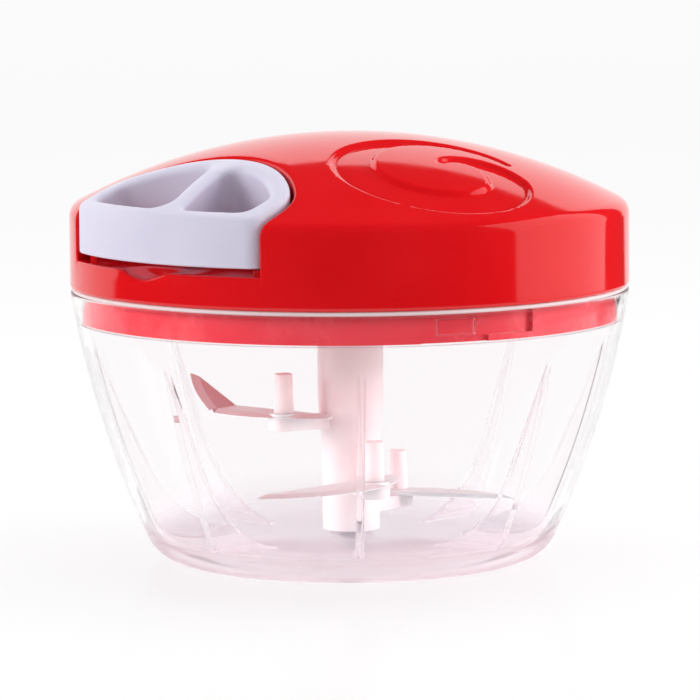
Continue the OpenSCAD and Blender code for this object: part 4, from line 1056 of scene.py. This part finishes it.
def make_surroundings():
    """White room to the eye. What the gloss mirrors is a white backdrop behind the object, and dark elsewhere."""
    world = bpy.data.worlds.new("studio")
    bpy.context.scene.world = world
    world.use_nodes = True
    n = Nodes(world.node_tree)
    room = world.node_tree.nodes["Background"]
    room.inputs["Color"].default_value = (1, 1, 1, 1)
    way = n.add("ShaderNodeTexCoord").outputs["Generated"]
    behind = n.spread(n.bearing(way, heading(BACKDROP_AZ)), 0, 1, *BACKDROP_SIDES)
    low = n.spread(n.along(way, (0, 0, 1)), 1, 0, BACKDROP_TOP - BACKDROP_SOFT, BACKDROP_TOP + BACKDROP_SOFT)
    mirrored = n.spread(n.maths("MULTIPLY", behind, low), SURROUND_DARK, 1, 0, 1)
    glossy, seen = n.rays()
    level = n.choose(glossy, ROOM_LIGHT, mirrored)
    n.link(n.choose(seen, level, 1.0), room.inputs["Strength"])


def lamp(name, azimuth, rise, reach, width, height, watts, mirrored):
    """A soft rectangular lamp round the object, at an azimuth from the camera to the right, that looks at the lid."""
    data = bpy.data.lights.new(name, "AREA")
    data.shape = "RECTANGLE"
    data.size = width
    data.size_y = height
    data.energy = watts
    light = place(name, data)
    rise = math.radians(rise)
    away = heading(CAMERA_AZ + math.radians(azimuth)) * math.cos(rise) + Vector((0, 0, math.sin(rise)))
    light.location = Vector((0, 0, LID_Z)) + reach * away
    light.rotation_euler = (-away).to_track_quat("-Z", "Y").to_euler()
    light.visible_glossy = mirrored


def make_camera():
    """The photograph's camera: a long lens a little above the lid."""
    data = bpy.data.cameras.new("camera")
    data.lens = CAMERA_LENS
    data.sensor_width = CAMERA_SENSOR
    data.clip_start, data.clip_end = CAMERA_CLIP
    eye = place("camera", data)
    spot = CAMERA_REACH * heading(CAMERA_AZ) + Vector((0, 0, CAMERA_Z))
    aim = AIM_RIGHT * heading(CAMERA_AZ + math.pi / 2) + Vector((0, 0, AIM_Z))
    turn = (aim - spot).to_track_quat("-Z", "Y").to_matrix() @ Matrix.Rotation(CAMERA_ROLL, 3, "Z")
    eye.location = spot
    eye.rotation_euler = turn.to_euler()
    bpy.context.scene.camera = eye


bpy.context.scene.view_settings.view_transform = "Standard"
make_camera()
make_floor()
make_surroundings()
for name, figures in LAMPS.items():
    lamp(name, *figures)

red = red_plastic("lid_red", dark=(0.70, 0.004, 0.007), light=(0.74, 0.006, 0.01), worn=(0.77, 0.03, 0.04), rough=0.07)
skirt_red = red_plastic("skirt_red", dark=(0.72, 0.03, 0.048), light=(0.76, 0.036, 0.056), worn=(0.78, 0.07, 0.09),
                        rough=0.22)
lavender = handle_plastic()
clear = clear_plastic()
milky = milky_plastic("hub_milky", dark=(0.84, 0.74, 0.75), light=(0.88, 0.80, 0.81))
# The blades' pale green-blue tone is painted: it cancels the red light that the lid bounces onto them and stands in
# for the white backdrop they mirror
blade = steel("blade_steel", tone=(0.79, 0.86, 0.88), metal=0.3, rough=0.36, stretch=(1, 12, 1))
bright = steel("small_steel", tone=(0.66, 0.67, 0.7), metal=1.0, rough=0.28, stretch=(1, 1, 8))
white = plain_plastic("inner_white", dark=(0.78, 0.78, 0.77), light=(0.84, 0.84, 0.83), rough=0.5)
seal = plain_plastic("seal_silicone", dark=(0.80, 0.66, 0.67), light=(0.86, 0.72, 0.73), rough=0.55)
braid = braided_cord()

FINISHES = {
    "blade_hub": milky, "blade_pegs": milky, "upper_blade": blade, "front_blade": blade, "lower_blade": blade,
    "pivot_pin": bright, "lid_seal": seal, "lid_base": skirt_red, "lid_screws": bright, "cord_eyelet": bright,
    "shaft_bush": white, "spring_housing": white, "housing_screws": bright, "spring_plate": white,
    "rewind_spring": bright, "reel_axle": bright, "cord_run": braid, "cord_reel": white, "reel_flange": white,
    "drive_shaft": white, "shaft_screws": bright, "thrust_washer": bright, "cord_winding": braid, "cord_end": braid,
}
for name, material in FINISHES.items():
    dress(nodes[name], material)

for maker, node, body, slot, material in (
        (make_lid, "lid_cover", "lid", "red_plastic", red),
        (make_handle, "pull_handle", "handle", "handle_plastic", lavender),
        (make_bowl, "bowl", "bowl", "clear_plastic", clear)):
    piece = maker()
    dress(piece, material)
    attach(piece, body)
    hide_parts(node)

cord, cord_start, cord_end = make_cord()
dress(cord, braid)
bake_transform(cord)
